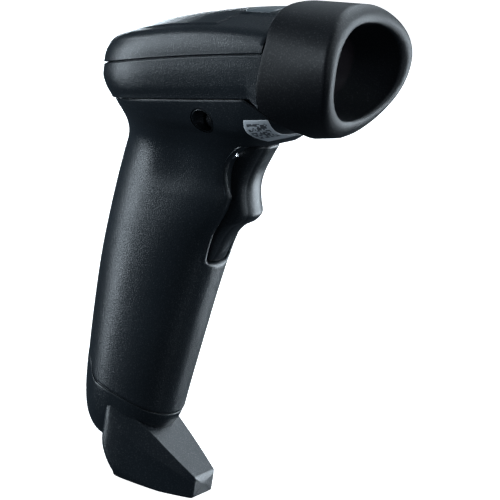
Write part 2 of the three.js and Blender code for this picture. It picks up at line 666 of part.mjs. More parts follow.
/** The battery chassis: a cradle behind the cell with an end wall below and above it. */
function batteryChassis() {
  const back = box([7.4, 16, CELL_LENGTH + 9], [-7.8, 0, CELL_LENGTH / 2]);
  const ends = box([17, 15, 2], [-1, 0, -3.5])
    .add(box([15, 15, 2], [-2, 0, CELL_LENGTH + 3.6]));
  const post = rod('z', 3.6, 5, [0.2, 0, -6.6], 20);
  const bore = rod('z', CELL_RADIUS + 0.4, CELL_LENGTH + 5, [0, 0, CELL_LENGTH / 2], 32);
  const window = box([10, 10, CELL_LENGTH - 16], [-10, 0, CELL_LENGTH / 2]);
  return back.subtract(bore).subtract(window).add(ends).add(post)
    .subtract(rod('z', 1.9, 14, [0.2, 0, -8], 12));
}

// ---------------------------------------------------------------- assembly

const scanner = new THREE.Group();
scanner.position.x = -BOX_CENTRE_X;
const head = new THREE.Group();
head.rotation.y = -HEAD_PITCH;
head.position.z = HEAD_DATUM;
scanner.add(head);

/** Adds a named piece to a group, moved to a place in that group. */
function fit(group, name, body, material, place = [0, 0, 0], turn = [0, 0, 0]) {
  const mesh = piece(name, body, material);
  mesh.position.set(...place);
  mesh.rotation.set(...turn);
  group.add(mesh);
}

// Casings.
fit(scanner, 'handle_shell', gripShell(), HOUSING);
fit(head, 'head_housing', headHousing(), HOUSING);
fit(head, 'top_cover', topCover(), HOUSING);
fit(head, 'status_lens', statusLens(), LENS);
fit(head, 'nose_hood', noseHood(), HOOD);
fit(head, 'scan_window', scanWindow(), WINDOW);
fit(head, 'window_gasket', windowGasket(), GASKET);
fit(scanner, 'base_cap', baseCap(), HOUSING);
fit(scanner, 'rating_label', ratingLabel(), LABEL);

// Trigger.
fit(scanner, 'trigger', trigger(), TRIGGER);
fit(scanner, 'trigger_pin', triggerPin(), STEEL);
fit(scanner, 'trigger_spring', triggerSpring(), STEEL);

// Fasteners of the casings.
const [screwX, screwZ] = SIDE_SCREW;
for (const [side, name] of [[-1, 'right_side_screw'], [1, 'left_side_screw']]) {
  const turn = [side * Math.PI / 2, 0, 0];
  const place = [screwX, side * (SCREW_SEAT + GAP + 2), screwZ];
  fit(scanner, name, screw(2.9, 1.1, 2, 7), STEEL, place, turn);
}
fit(scanner, 'base_cap_screw', screw(2.6, 1.2, 2, 14), STEEL, [CAP_SCREW_X, 0, 7.7]);

// Inside the grip.
const core = new THREE.Group();
core.position.set(CELL_FOOT[0], 0, CELL_FOOT[1]);
core.rotation.y = CELL_LEAN;
scanner.add(core);
fit(core, 'battery_cell', batteryCell(), CELL);
fit(core, 'battery_chassis', batteryChassis(), FRAME);
fit(core, 'battery_spring_contact', rod('z', 4.5, 1.6, [0, 0, -1.3], 16, 2), STEEL);
fit(core, 'battery_top_contact', box([7, 6, 0.6], [0, 0, CELL_LENGTH + 1.8]), STEEL);

// Charging contacts in the foot.
CONTACT_X.forEach((x, i) => {
  fit(scanner, `charge_contact_${i + 1}`, rod('z', 1.3, 5, [0, 0, 0], 16), GOLD, [x, 0, 2.9]);
});
fit(scanner, 'contact_board', box([14, 7, 1.2], [0, 0, 0]), BOARD, [-16.5, 0, 6.4]);

// Trigger switch on its own small board.
const SWITCH_Z = 107;
fit(scanner, 'switch_board', box([1.6, 14, 22], [0, 0, 0]), BOARD, [-15.2, 0, SWITCH_Z]);
const PLUNGER_RADIUS = 1.5;
const switchBody = box([3.4, 6, 6], [0, 0, 0])
  .subtract(rod('x', PLUNGER_RADIUS + 0.2, 2, [1.2, 0, 0], 20));
fit(scanner, 'switch_body', switchBody, CHIP, [-12.4, 0, SWITCH_Z]);
fit(scanner, 'switch_plunger', rod('x', PLUNGER_RADIUS, 1.5, [0, 0, 0], 16), FRAME, [-9.65, 0, SWITCH_Z]);

const flex = box([0.4, 8, 24], [0, 0, 0]).add(box([1.2, 8, 0.4], [0.5, 0, -11.8]));
fit(scanner, 'switch_flex_cable', flex, FLEX, [-17.6, 0, 125]);

// Scan engine and electronics in the head.
const ENGINE_Z = 62;
fit(head, 'main_board', box([34, 34, 1.6], [0, 0, 0]), BOARD, [-19.5, 0, 55.6]);
fit(head, 'processor', box([12, 12, 1.4], [0, 0, 0]), CHIP, [-13, -8, 57.4]);
fit(head, 'radio_module', box([14, 11, 2.2], [0, 0, 0]), CAN, [-28, 8, 57.8]);
fit(head, 'buzzer', rod('z', 6, 5, [0, 0, 0], 28), CHIP, [-12, 9, 59.2]);
fit(head, 'engine_bracket', box([18, 30, 1.4], [0, 0, 0]), FRAME, [11, 0, 53.6]);
const chassis = box([14, 26, 13.4], [0, 0, 0])
  .subtract(rod('x', 4.6, 16, [2, 0, 0]))
  .subtract(rod('x', 2.9, 8, [6, -9, 0], 20))
  .subtract(rod('x', 2.9, 8, [6, 9, 0], 20));
fit(head, 'scan_engine_chassis', chassis, ENGINE, [12, 0, ENGINE_Z]);
fit(head, 'engine_board', box([1.4, 26, 13], [0, 0, 0]), BOARD, [3.8, 0, ENGINE_Z]);
const barrel = rod('x', 4.2, 11, [0, 0, 0], 28).subtract(rod('x', 3.2, 3, [4.6, 0, 0], 24));
fit(head, 'lens_barrel', barrel, CHIP, [16, 0, ENGINE_Z]);
const lensBall = new THREE.SphereGeometry(2.8, 14, 8).scale(0.4, 1, 1);
fit(head, 'objective_lens', solid(lensBall), GLASS, [20.6, 0, ENGINE_Z]);
for (const [side, name] of [[-1, 'right_illumination_led'], [1, 'left_illumination_led']]) {
  fit(head, name, rod('x', 2.5, 3.6, [0, 0, 0], 20, 1.6), LED, [18.2, side * 9, ENGINE_Z]);
}
fit(head, 'led_board', box([9, 12, 1.2], [0, 0, 0]), BOARD, [13, 0, 71]);
fit(head, 'status_led', rod('z', 1.5, 2.4, [0, 0, 0], 16), LED, [13, 0, 73.1]);

export default scanner;
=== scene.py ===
"""Looks of a handheld barcode scanner: pistol grip, pitched head, nose hood, trigger, standing foot.

Sizes are in millimetres in the drawing frame: X forward, Y to the left, Z up, with the foot's
underside at Z = 0. The head is drawn in a frame of its own, pitched nose-up about the Y axis.
"""

import logging
import math
from dataclasses import dataclass
from enum import Enum
from typing import Callable

import bmesh
import bpy
import numpy as np
from mathutils import Matrix, Vector


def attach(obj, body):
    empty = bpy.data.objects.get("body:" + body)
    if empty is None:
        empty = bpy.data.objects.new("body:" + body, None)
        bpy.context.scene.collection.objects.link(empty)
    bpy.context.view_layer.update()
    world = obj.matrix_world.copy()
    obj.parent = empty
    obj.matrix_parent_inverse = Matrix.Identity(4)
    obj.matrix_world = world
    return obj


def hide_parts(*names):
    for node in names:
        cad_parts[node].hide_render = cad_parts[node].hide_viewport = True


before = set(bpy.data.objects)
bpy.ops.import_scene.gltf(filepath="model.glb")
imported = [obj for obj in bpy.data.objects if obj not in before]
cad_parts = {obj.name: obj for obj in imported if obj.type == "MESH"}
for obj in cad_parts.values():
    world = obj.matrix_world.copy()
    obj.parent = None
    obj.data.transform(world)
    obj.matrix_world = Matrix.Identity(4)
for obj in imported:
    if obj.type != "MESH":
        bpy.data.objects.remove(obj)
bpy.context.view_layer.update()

Array = np.ndarray
Object = bpy.types.Object
Pairs = tuple[tuple[float, ...], ...]
LOG = logging.getLogger("scanner")

MM = 0.001
BOX_CENTRE_X = -11.85  # the drawing frame's X at the row frame's X = 0
HEAD_PITCH = math.radians(13)
HEAD_DATUM = 86.0  # height of the head frame's origin
GAP = 0.34  # width of the seams
TONGUE = 0.28  # how far the lip inside a seam rises into it
TONGUE_INSETS = (0.6, 0.7, 3.0)  # the tongue's foot, its top, and where it closes inwards


# ------------------------------------------------------------------ frames and curves


def to_row(points: Array) -> Array:
    """Carries drawing-frame millimetres into the row frame in metres.

    Args:
        points: (..., 3) places in the drawing frame.

    Returns:
        The same places less the box's middle X, times 0.001.
    """
    return (points - np.array([BOX_CENTRE_X, 0.0, 0.0])) * MM


def from_head(x: Array, y: Array, z: Array) -> Array:
    """Carries head-frame places into the drawing frame.

    Args:
        x, y, z: head-frame coordinates that broadcast together.

    Returns:
        (..., 3) places turned nose-up by the pitch about Y and raised by the datum.
    """
    x, y, z = np.broadcast_arrays(x, y, z)
    c, s = math.cos(HEAD_PITCH), math.sin(HEAD_PITCH)
    return np.stack([x * c - z * s, y, x * s + z * c + HEAD_DATUM], -1)


def to_head(x: Array, z: Array) -> tuple[Array, Array]:
    """The head-frame X and Z of a side-view place in the drawing frame."""
    c, s = math.cos(HEAD_PITCH), math.sin(HEAD_PITCH)
    return x * c + (z - HEAD_DATUM) * s, (z - HEAD_DATUM) * c - x * s


def squircle(angle: Array, power: Array) -> tuple[Array, Array]:
    """The superellipse |c|^p + |s|^p = 1 at a direction angle from its middle.

    Args:
        angle: direction in radians.
        power: 2 for a circle, larger for a squarer outline.

    Returns:
        The two coordinates: the direction's cosine and sine over its p-norm.
    """
    c, s = np.cos(angle), np.sin(angle)
    norm = (np.abs(c) ** power + np.abs(s) ** power) ** (1 / power)
    return c / norm, s / norm


def spline(points: Pairs | Array, share: Array) -> Array:
    """A uniform Catmull-Rom curve through rows of numbers.

    Args:
        points: (n, k) rows that the curve passes through.
        share: places along it, from 0 at the first row to 1 at the last.

    Returns:
        (..., k) cubic blends of the four nearest rows, with slopes of half their differences.
    """
    table = np.asarray(points, float)
    last = len(table) - 1
    place = np.clip(share, 0, 1) * last
    low = np.minimum(np.floor(place).astype(int), last - 1)
    w = (place - low)[..., None]
    p0, p1, p2, p3 = (table[np.clip(low + k, 0, last)] for k in (-1, 0, 1, 2))
    v0, v1 = (p2 - p0) / 2, (p3 - p1) / 2
    return (2 * p1 - 2 * p2 + v0 + v1) * w**3 + (3 * p2 - 3 * p1 - 2 * v0 - v1) * w**2 + v0 * w + p1


def height_curve(points: Pairs, steps: int = 200) -> Callable[[Array], Array]:
    """The X of a smooth side-view curve as a function of its height.

    Args:
        points: (x, z) places with z rising or falling all the way.
        steps: samples along the curve.

    Returns:
        A function from z to x that reads the sampled spline.
    """
    samples = spline(points, np.linspace(0, 1, steps))
    samples = samples[np.argsort(samples[:, 1])]
    return lambda z: np.interp(z, samples[:, 1], samples[:, 0])


def smooth_step(value: Array) -> Array:
    """Rises from 0 to 1 as 3v^2 - 2v^3 over v from 0 to 1."""
    v = np.clip(value, 0, 1)
    return v * v * (3 - 2 * v)


def stroke(a: Array, b: Array, count: int) -> Array:
    """(..., count, k) points from a towards b in equal steps, without b itself."""
    u = np.linspace(0, 1, count, endpoint=False)[:, None]
    return a[..., None, :] * (1 - u) + b[..., None, :] * u


def corner(a: Array, b: Array, c: Array, count: int, closed: bool = False) -> Array:
    """A rounded corner from a to c that leans on b.

    Args:
        a, b, c: (..., k) start, control and end points.
        count: number of points.
        closed: whether c is one of them.

    Returns:
        (..., count, k) points of the quadratic curve (1-u)^2 a + 2u(1-u) b + u^2 c.
    """
    u = np.linspace(0, 1, count, endpoint=closed)[:, None]
    a, b, c = a[..., None, :], b[..., None, :], c[..., None, :]
    return a * (1 - u) ** 2 + 2 * b * u * (1 - u) + c * u**2


def read(points: Pairs, place: Array) -> Array:
    """A table's second column at places along its rising first column, straight between rows."""
    return np.interp(place, *zip(*points))


def full_turn(count: int) -> Array:
    """Equal steps of angle round a full turn, without its end."""
    return np.linspace(0, 2 * math.pi, count, endpoint=False)


def pair(a: Array, b: Array) -> Array:
    """(..., 2) points from two coordinates that broadcast together."""
    return np.stack(np.broadcast_arrays(a, b), -1)


def mirrored(half: Array) -> Array:
    """Closes half rings, drawn from Y = 0 round the left side to Y = 0, with their mirror image."""
    other = half[:, -2:0:-1] * np.array([1.0, -1.0, 1.0])
    return np.concatenate([half, other], 1)


# ------------------------------------------------------------------ meshes


def new_mesh(name: str, points: Array, faces: list[Array], sharp: float = 32.0) -> Object:
    """Puts computed points and faces into a new object whose place is in its mesh.

    Args:
        name: the piece's name.
        points: (n, 3) places in the drawing frame.
        faces: integer arrays, each of faces with one number of corners.
        sharp: edges that turn by more than this many degrees are shaded sharp.

    Returns:
        The object, its doubles merged, its faces turned outwards and smooth.
    """
    mesh = bpy.data.meshes.new(name)
    loops = np.concatenate([f.ravel() for f in faces]).astype(np.int32)
    sizes = np.concatenate([np.full(len(f), f.shape[1]) for f in faces])
    mesh.vertices.add(len(points))
    mesh.vertices.foreach_set("co", to_row(points).astype(np.float32).ravel())
    mesh.loops.add(len(loops))
    mesh.loops.foreach_set("vertex_index", loops)
    mesh.polygons.add(len(sizes))
    mesh.polygons.foreach_set("loop_start", (np.cumsum(sizes) - sizes).astype(np.int32))
    mesh.update(calc_edges=True)
    mesh.validate()
    obj = bpy.data.objects.new(name, mesh)
    bpy.context.scene.collection.objects.link(obj)
    tidy_mesh(obj, sharp)
    return obj


def tidy_mesh(obj: Object, sharp: float) -> None:
    """Merges doubles, turns the faces of a closed mesh outwards and shades it smooth.

    Args:
        obj: a mesh object.
        sharp: the angle in degrees past which an edge stays sharp.
    """
    work = bmesh.new()
    work.from_mesh(obj.data)
    bmesh.ops.remove_doubles(work, verts=work.verts, dist=2e-6)
    bmesh.ops.dissolve_degenerate(work, edges=work.edges, dist=1e-6)
    bmesh.ops.recalc_face_normals(work, faces=work.faces)
    work.to_mesh(obj.data)
    work.free()
    obj.data.shade_smooth()
    obj.data.set_sharp_from_angle(angle=math.radians(sharp))


def ring_mesh(name: str, rings: Array, sharp: float = 32.0) -> Object:
    """A closed skin over a stack of rings; each end closes on the middle of its ring.

    Args:
        name: the piece's name.
        rings: (rows, columns, 3) places in the drawing frame, columns going round.
        sharp: edges that turn by more than this many degrees are shaded sharp.

    Returns:
        The object.
    """
    rows, columns, _ = rings.shape
    index = np.arange(rows * columns).reshape(rows, columns)
    beside = np.roll(index, -1, 1)
    quads = np.stack([index[:-1], beside[:-1], beside[1:], index[1:]], -1).reshape(-1, 4)
    first = np.full(columns, rows * columns)
    ends = np.concatenate([
        np.stack([beside[0], index[0], first], -1),
        np.stack([index[-1], beside[-1], first + 1], -1),
    ])
    points = np.concatenate([rings.reshape(-1, 3), rings[:1].mean(1), rings[-1:].mean(1)])
    return new_mesh(name, points, [quads, ends], sharp)


class Cut(Enum):
    """How one solid changes another."""

    AWAY = "DIFFERENCE"
    JOIN = "UNION"


def combine(body: Object, tool: Object, how: Cut, sharp: float = 32.0) -> None:
    """Cuts or joins a tool solid into a body and removes the tool.

    Args:
        body: the mesh that is kept.
        tool: the mesh that goes away.
        how: whether the tool is cut away or joined.
        sharp: the angle in degrees past which an edge stays sharp.
    """
    modifier = body.modifiers.new("combine", "BOOLEAN")
    modifier.operation = how.value
    modifier.solver = "EXACT"
    modifier.object = tool
    bpy.context.view_layer.update()
    graph = bpy.context.evaluated_depsgraph_get()
    result = bpy.data.meshes.new_from_object(body.evaluated_get(graph))
    body.modifiers.remove(modifier)
    old = body.data
    body.data = result
    bpy.data.meshes.remove(old)
    bpy.data.objects.remove(tool)
    tidy_mesh(body, sharp)


def roll(radius: float, steps: int = 6) -> tuple[Array, Array]:
    """The rounding of an edge as insets and distances from the edge.

    Args:
        radius: of the quarter circle.
        steps: points on it, the last where the plain surface begins.

    Returns:
        Insets r(1 - sin a) and distances r(1 - cos a), for a from 0 to a quarter turn.
    """
    a = np.linspace(0, math.pi / 2, steps)
    return radius * (1 - np.sin(a)), radius * (1 - np.cos(a))


# ------------------------------------------------------------------ node groups

Tree = bpy.types.NodeTree
Socket = bpy.types.NodeSocket
Value = Socket | float


def new_group(name: str, inputs: dict[str, float], outputs: tuple[str, ...]) -> tuple[Tree, dict, dict]:
    """Starts a shader node group with named sockets.

    Args:
        name: the group's name.
        inputs: names and default numbers of the inputs.
        outputs: names of the outputs, all numbers.

    Returns:
        The tree, its input sockets by name and its output sockets by name.
    """
    tree = bpy.data.node_groups.new(name, "ShaderNodeTree")
    for key, value in inputs.items():
        tree.interface.new_socket(key, in_out="INPUT", socket_type="NodeSocketFloat").default_value = value
    for key in outputs:
        tree.interface.new_socket(key, in_out="OUTPUT", socket_type="NodeSocketFloat")
    source, sink = tree.nodes.new("NodeGroupInput"), tree.nodes.new("NodeGroupOutput")
    return tree, {k: source.outputs[k] for k in inputs}, {k: sink.inputs[k] for k in outputs}


def feed(tree: Tree, socket: Socket, value: "Socket | float | tuple[float, ...]") -> None:
    """Links a socket to another, or sets its plain value."""
    if isinstance(value, bpy.types.NodeSocket):
        tree.links.new(value, socket)
    else:
        socket.default_value = value


def add_node(tree: Tree, kind: str, **inputs: "Socket | float | tuple[float, ...]") -> bpy.types.Node:
    """Adds a shader node and feeds some of its inputs.

    Args:
        tree: where the node goes.
        kind: its type, without the word ShaderNode.
        inputs: sockets or plain values, by the input's name.

    Returns:
        The node.
    """
    node = tree.nodes.new("ShaderNode" + kind)
    for key, value in inputs.items():
        feed(tree, node.inputs[key], value)
    return node


def object_place(tree: Tree) -> Socket:
    """Object coordinates, in metres."""
    return add_node(tree, "TexCoord").outputs["Object"]


def calc(tree: Tree, how: str, *values: Value, clamp: bool = False) -> Socket:
    """The result of a Math node.

    Args:
        tree: where the node goes.
        how: the node's operation.
        values: its inputs, sockets or numbers.
        clamp: whether the result is kept from 0 to 1.

    Returns:
        The node's output.
    """
    node = add_node(tree, "Math")
    node.operation, node.use_clamp = how, clamp
    for i, value in enumerate(values):
        feed(tree, node.inputs[i], value)
    return node.outputs[0]


def noise(tree: Tree, scale: Value, detail: float = 3.0, where: Socket | None = None) -> Socket:
    """The value of a Noise texture on Object coordinates.

    Args:
        tree: where the nodes go.
        scale: repeats per metre.
        detail: octaves of finer noise.
        where: other coordinates to read instead.

    Returns:
        The node's value output.
    """
    node = add_node(tree, "TexNoise", Vector=where or object_place(tree), Scale=scale, Detail=detail)
    return node.outputs[0]


def between(tree: Tree, value: Socket, low: Value, high: Value) -> Socket:
    """The clamped share of the way that a value lies between two others."""
    node = add_node(tree, "MapRange")
    node.interpolation_type = "SMOOTHSTEP"
    feed(tree, node.inputs["Value"], value)
    feed(tree, node.inputs["From Min"], low)
    feed(tree, node.inputs["From Max"], high)
    return node.outputs["Result"]


def spark_grain_group() -> Tree:
    """Spark-eroded mould grain: fine noise with small round pits, as a height and a speckle."""
    tree, given, out = new_group("spark_grain", {"Scale": 2200.0, "Pits": 0.35}, ("Height", "Speckle"))
    fine = noise(tree, given["Scale"], 2.0)
    coarser = calc(tree, "MULTIPLY", given["Scale"], 0.8)
    cells = add_node(tree, "TexVoronoi", Vector=object_place(tree), Scale=coarser)
    pits = calc(tree, "MULTIPLY", cells.outputs["Distance"], given["Pits"])
    feed(tree, out["Height"], calc(tree, "ADD", fine, pits))
    feed(tree, out["Speckle"], between(tree, fine, 0.52, 0.7))
    return tree


def handling_group() -> Tree:
    """Uneven gloss from hands: broad cloudy patches crossed by small smears."""
    tree, given, out = new_group("handling", {"Size": 28.0, "Smears": 0.4}, ("Mask",))
    cloud = between(tree, noise(tree, given["Size"], 2.0), 0.35, 0.68)
    place = add_node(tree, "Mapping", Vector=object_place(tree), Rotation=(0.3, 0.5, 0.2),
                     Scale=(1.0, 1.0, 0.22))
    smear = between(tree, noise(tree, 420.0, 3.0, place.outputs[0]), 0.5, 0.75)
    mixed = calc(tree, "ADD", cloud, calc(tree, "MULTIPLY", smear, given["Smears"]))
    feed(tree, out["Mask"], calc(tree, "MULTIPLY", mixed, 0.75, clamp=True))
    return tree


def edge_wear_group() -> Tree:
    """Wear of raised edges: the surface's pointiness, broken up by noise."""
    tree, given, out = new_group("edge_wear", {"Amount": 0.5, "Start": 0.53, "Breakup": 900.0}, ("Mask",))
    raised = add_node(tree, "NewGeometry").outputs["Pointiness"]
    edge = between(tree, raised, given["Start"], calc(tree, "ADD", given["Start"], 0.07))
    broken = between(tree, noise(tree, given["Breakup"], 4.0), 0.38, 0.62)
    worn = calc(tree, "MULTIPLY", edge, calc(tree, "ADD", broken, 0.35, clamp=True))
    feed(tree, out["Mask"], calc(tree, "MULTIPLY", worn, given["Amount"], clamp=True))
    return tree


def dust_group() -> Tree:
    """Thin dust: it lies on faces that look up, in specks and faint clouds."""
    tree, given, out = new_group("dust", {"Amount": 0.2, "Specks": 1500.0}, ("Mask",))
    facing = add_node(tree, "SeparateXYZ", Vector=add_node(tree, "NewGeometry").outputs["Normal"])
    up = between(tree, facing.outputs["Z"], 0.2, 0.95)
    specks = between(tree, noise(tree, given["Specks"], 1.0), 0.66, 0.74)
    haze = calc(tree, "MULTIPLY", noise(tree, 60.0, 3.0), 0.3)
    both = calc(tree, "MULTIPLY", up, calc(tree, "ADD", specks, haze))
    feed(tree, out["Mask"], calc(tree, "MULTIPLY", both, given["Amount"], clamp=True))
    return tree


GROUPS: dict[str, Tree] = {tree.name: tree for tree in (
    spark_grain_group(), handling_group(), edge_wear_group(), dust_group())}


def place_group(tree: Tree, name: str, **values: float) -> dict[str, Socket]:
    """Places a shared group in a material.

    Args:
        tree: the material's nodes.
        name: of the group.
        values: its inputs, by name with capitals.

    Returns:
        Its outputs by name.
    """
    node = add_node(tree, "Group")
    node.node_tree = GROUPS[name]
    for key, value in values.items():
        node.inputs[key].default_value = value
    return {socket.name: socket for socket in node.outputs}


# ------------------------------------------------------------------ finishes

Colour = tuple[float, float, float]


class Pattern(Enum):
    """What is drawn in a finish besides its grain."""

    PLAIN = "plain"
    BRUSHED = "brushed"
    BOARD = "board"
    PRINT = "print"
    WRAP = "wrap"


@dataclass(frozen=True)
class Finish:
    """A finish: colours in linear light, gloss, grain and wear.

    Grain is in repeats per metre, and relief in metres.
    """

    name: str
    colour: Colour
    second: Colour
    roughness: float
    metallic: float = 0.0
    specular: float = 0.5
    coat: float = 0.0
    grain: float = 2200.0
    relief: float = 0.00003
    wear: float = 0.35
    dust: float = 0.1
    pattern: Pattern = Pattern.PLAIN

    def drawing(self, tree: Tree) -> Socket:
        """The share of the second colour that the pattern draws.

        Args:
            tree: the material's nodes.

        Returns:
            A mask socket.
        """
        if self.pattern is Pattern.BRUSHED:
            place = add_node(tree, "Mapping", Vector=object_place(tree), Scale=(1.0, 9.0, 9.0))
            return between(tree, noise(tree, 700.0, 5.0, place.outputs[0]), 0.3, 0.75)
        if self.pattern is Pattern.BOARD:
            return self.tracks(tree)
        if self.pattern is Pattern.PRINT:
            return self.blocks(tree)
        if self.pattern is Pattern.WRAP:
            wave = add_node(tree, "TexWave", Vector=object_place(tree), Scale=7.0)
            wave.bands_direction = "Z"
            return between(tree, wave.outputs["Fac"], 0.93, 0.97)
        return between(tree, noise(tree, 34.0, 4.0), 0.35, 0.75)

    def tracks(self, tree: Tree) -> Socket:
        """Copper tracks under a solder mask: cell borders of a square-distance Voronoi, and round pads.

        Args:
            tree: the material's nodes.

        Returns:
            A mask socket.
        """
        cells = add_node(tree, "TexVoronoi", Vector=object_place(tree), Scale=420.0, Randomness=0.75)
        cells.distance = "CHEBYCHEV"
        cells.feature = "F2"
        dots = add_node(tree, "TexVoronoi", Vector=object_place(tree), Scale=300.0)
        lines = between(tree, cells.outputs["Distance"], 0.62, 0.7)
        pads = between(tree, dots.outputs["Distance"], 0.22, 0.16)
        return calc(tree, "MAXIMUM", lines, pads)

    def blocks(self, tree: Tree) -> Socket:
        """Print on the label: a square of random dark cells, rows of plain bars, and a bare margin.

        Args:
            tree: the material's nodes.

        Returns:
            A mask socket, 1 where there is ink, on the piece's own UV map.
        """
        where = add_node(tree, "SeparateXYZ", Vector=add_node(tree, "TexCoord").outputs["UV"])
        u, v = where.outputs["X"], where.outputs["Y"]
        cell = add_node(tree, "CombineXYZ", X=calc(tree, "FLOOR", calc(tree, "MULTIPLY", u, 19.0)),
                        Y=calc(tree, "FLOOR", calc(tree, "MULTIPLY", v, 15.0)))
        random = add_node(tree, "TexWhiteNoise", Vector=cell.outputs[0])
        ink = calc(tree, "GREATER_THAN", random.outputs["Value"], 0.42)
        inside = calc(tree, "MULTIPLY", between(tree, u, 0.10, 0.13), between(tree, u, 0.9, 0.87))
        for margin in (between(tree, v, 0.14, 0.17), between(tree, v, 0.86, 0.83)):
            inside = calc(tree, "MULTIPLY", inside, margin)
        gap = calc(tree, "GREATER_THAN", calc(tree, "FRACT", calc(tree, "MULTIPLY", v, 4.5)), 0.2)
        rows = calc(tree, "MAXIMUM", gap, between(tree, u, 0.5, 0.52))
        printed = calc(tree, "MULTIPLY", ink, inside)
        return calc(tree, "MULTIPLY", printed, calc(tree, "MULTIPLY", rows, 0.85))

    def material(self) -> bpy.types.Material:
        """Builds the finish's material once and gives it again after that."""
        found = bpy.data.materials.get("finish_" + self.name)
        if found:
            return found
        made = bpy.data.materials.new("finish_" + self.name)
        made.use_nodes = True
        tree = made.node_tree
        shader = tree.nodes["Principled BSDF"]
        grain = place_group(tree, "spark_grain", Scale=self.grain)
        hands = place_group(tree, "handling")
        wear = place_group(tree, "edge_wear", Amount=self.wear)
        dust = place_group(tree, "dust", Amount=self.dust)
        drawn = self.drawing(tree)
        colour = self.mixed(tree, drawn, (*self.colour, 1.0), (*self.second, 1.0))
        worn = tuple(min(1.0, 2.2 * c + 0.012) for c in self.colour)
        colour = self.mixed(tree, wear["Mask"], colour, (*worn, 1.0))
        colour = self.mixed(tree, dust["Mask"], colour, (0.34, 0.35, 0.36, 1.0))
        feed(tree, shader.inputs["Base Color"], colour)
        rough = calc(tree, "ADD", calc(tree, "MULTIPLY", hands["Mask"], -0.07), self.roughness + 0.03)
        rough = calc(tree, "ADD", rough, calc(tree, "MULTIPLY", grain["Speckle"], 0.05))
        rough = calc(tree, "ADD", rough, calc(tree, "MULTIPLY", wear["Mask"], -0.12), clamp=True)
        feed(tree, shader.inputs["Roughness"], rough)
        bump = add_node(tree, "Bump", Strength=1.0, Distance=self.relief, Height=grain["Height"])
        feed(tree, shader.inputs["Normal"], bump.outputs[0])
        shader.inputs["Metallic"].default_value = self.metallic
        glint = calc(tree, "MULTIPLY", grain["Speckle"], 0.75 * self.specular)
        glint = calc(tree, "ADD", glint, 0.7 * self.specular)
        feed(tree, shader.inputs["Specular IOR Level"], glint)
        shader.inputs["Coat Weight"].default_value = self.coat
        return made

    @staticmethod
    def mixed(tree: Tree, share: Socket, a: "Socket | Colour", b: "Socket | Colour") -> Socket:
        """A colour between a and b by a share."""
        node = tree.nodes.new("ShaderNodeMix")
        node.data_type = "RGBA"
        feed(tree, node.inputs["Factor"], share)
        feed(tree, node.inputs["A"], a)
        feed(tree, node.inputs["B"], b)
        return node.outputs["Result"]

    def dress(self, obj: Object) -> None:
        """Gives an object this finish as its only material."""
        obj.data.materials.clear()
        obj.data.materials.append(self.material())


HOUSING = Finish("satin_housing", (0.0062, 0.0092, 0.0122), (0.0088, 0.0126, 0.0164), 0.38, grain=2600.0,
                 relief=0.00007)
HOOD = Finish("matte_hood", (0.0034, 0.0042, 0.0056), (0.0050, 0.0060, 0.0078), 0.48, specular=0.26,
              relief=0.00003)
CAP = Finish("cap_plastic", (0.0062, 0.0092, 0.0122), (0.0088, 0.0126, 0.0164), 0.36, relief=0.00005)
TRIGGER = Finish("finger_polished", (0.0098, 0.0126, 0.0156), (0.0130, 0.0162, 0.0196), 0.42,
                 grain=2600.0, relief=0.000012)
WINDOW = Finish("scan_window", (0.010, 0.008, 0.010), (0.014, 0.010, 0.012), 0.08, coat=0.6,
                relief=0.000001, wear=0.1)
LENS = Finish("frosted_lens", (0.085, 0.10, 0.11), (0.12, 0.14, 0.15), 0.34, relief=0.00001, wear=0.1)
LABEL = Finish("printed_label", (0.54, 0.57, 0.60), (0.012, 0.014, 0.018), 0.45, relief=0.000004,
               grain=3000.0, wear=0.2, pattern=Pattern.PRINT)
RUBBER = Finish("seal_rubber", (0.006, 0.006, 0.006), (0.009, 0.009, 0.009), 0.8)
STEEL = Finish("bright_steel", (0.40, 0.41, 0.43), (0.55, 0.56, 0.58), 0.28, metallic=1.0,
               relief=0.000006, pattern=Pattern.BRUSHED)
GOLD = Finish("gold_plate", (0.78, 0.52, 0.20), (0.88, 0.63, 0.30), 0.22, metallic=1.0,
              relief=0.000004, pattern=Pattern.BRUSHED)
BOARD = Finish("solder_mask", (0.012, 0.085, 0.04), (0.03, 0.17, 0.08), 0.32, coat=0.4,
               relief=0.000008, pattern=Pattern.BOARD)
CHIP = Finish("moulded_chip", (0.010, 0.010, 0.011), (0.016, 0.016, 0.018), 0.5, grain=5000.0)
CAN = Finish("tinned_can", (0.46, 0.47, 0.48), (0.58, 0.58, 0.59), 0.3, metallic=1.0,
             relief=0.000006, pattern=Pattern.BRUSHED)
ENGINE = Finish("engine_casting", (0.024, 0.026, 0.030), (0.036, 0.038, 0.043), 0.42)
GLASS = Finish("coated_glass", (0.02, 0.03, 0.06), (0.05, 0.03, 0.08), 0.04, coat=1.0,
               relief=0.0000005, wear=0.0)
CELL = Finish("cell_wrap", (0.020, 0.12, 0.22), (0.75, 0.76, 0.78), 0.3, coat=0.3,
              relief=0.000006, pattern=Pattern.WRAP)
CHASSIS = Finish("glass_filled_nylon", (0.035, 0.038, 0.043), (0.055, 0.058, 0.064), 0.55, grain=1600.0)
FLEX = Finish("polyimide_film", (0.36, 0.13, 0.02), (0.50, 0.24, 0.06), 0.3, coat=0.3,
              relief=0.000004, pattern=Pattern.BRUSHED)
LED = Finish("clear_epoxy", (0.70, 0.68, 0.55), (0.85, 0.83, 0.70), 0.12, coat=0.8, relief=0.000002)


# ------------------------------------------------------------------ sub-assemblies


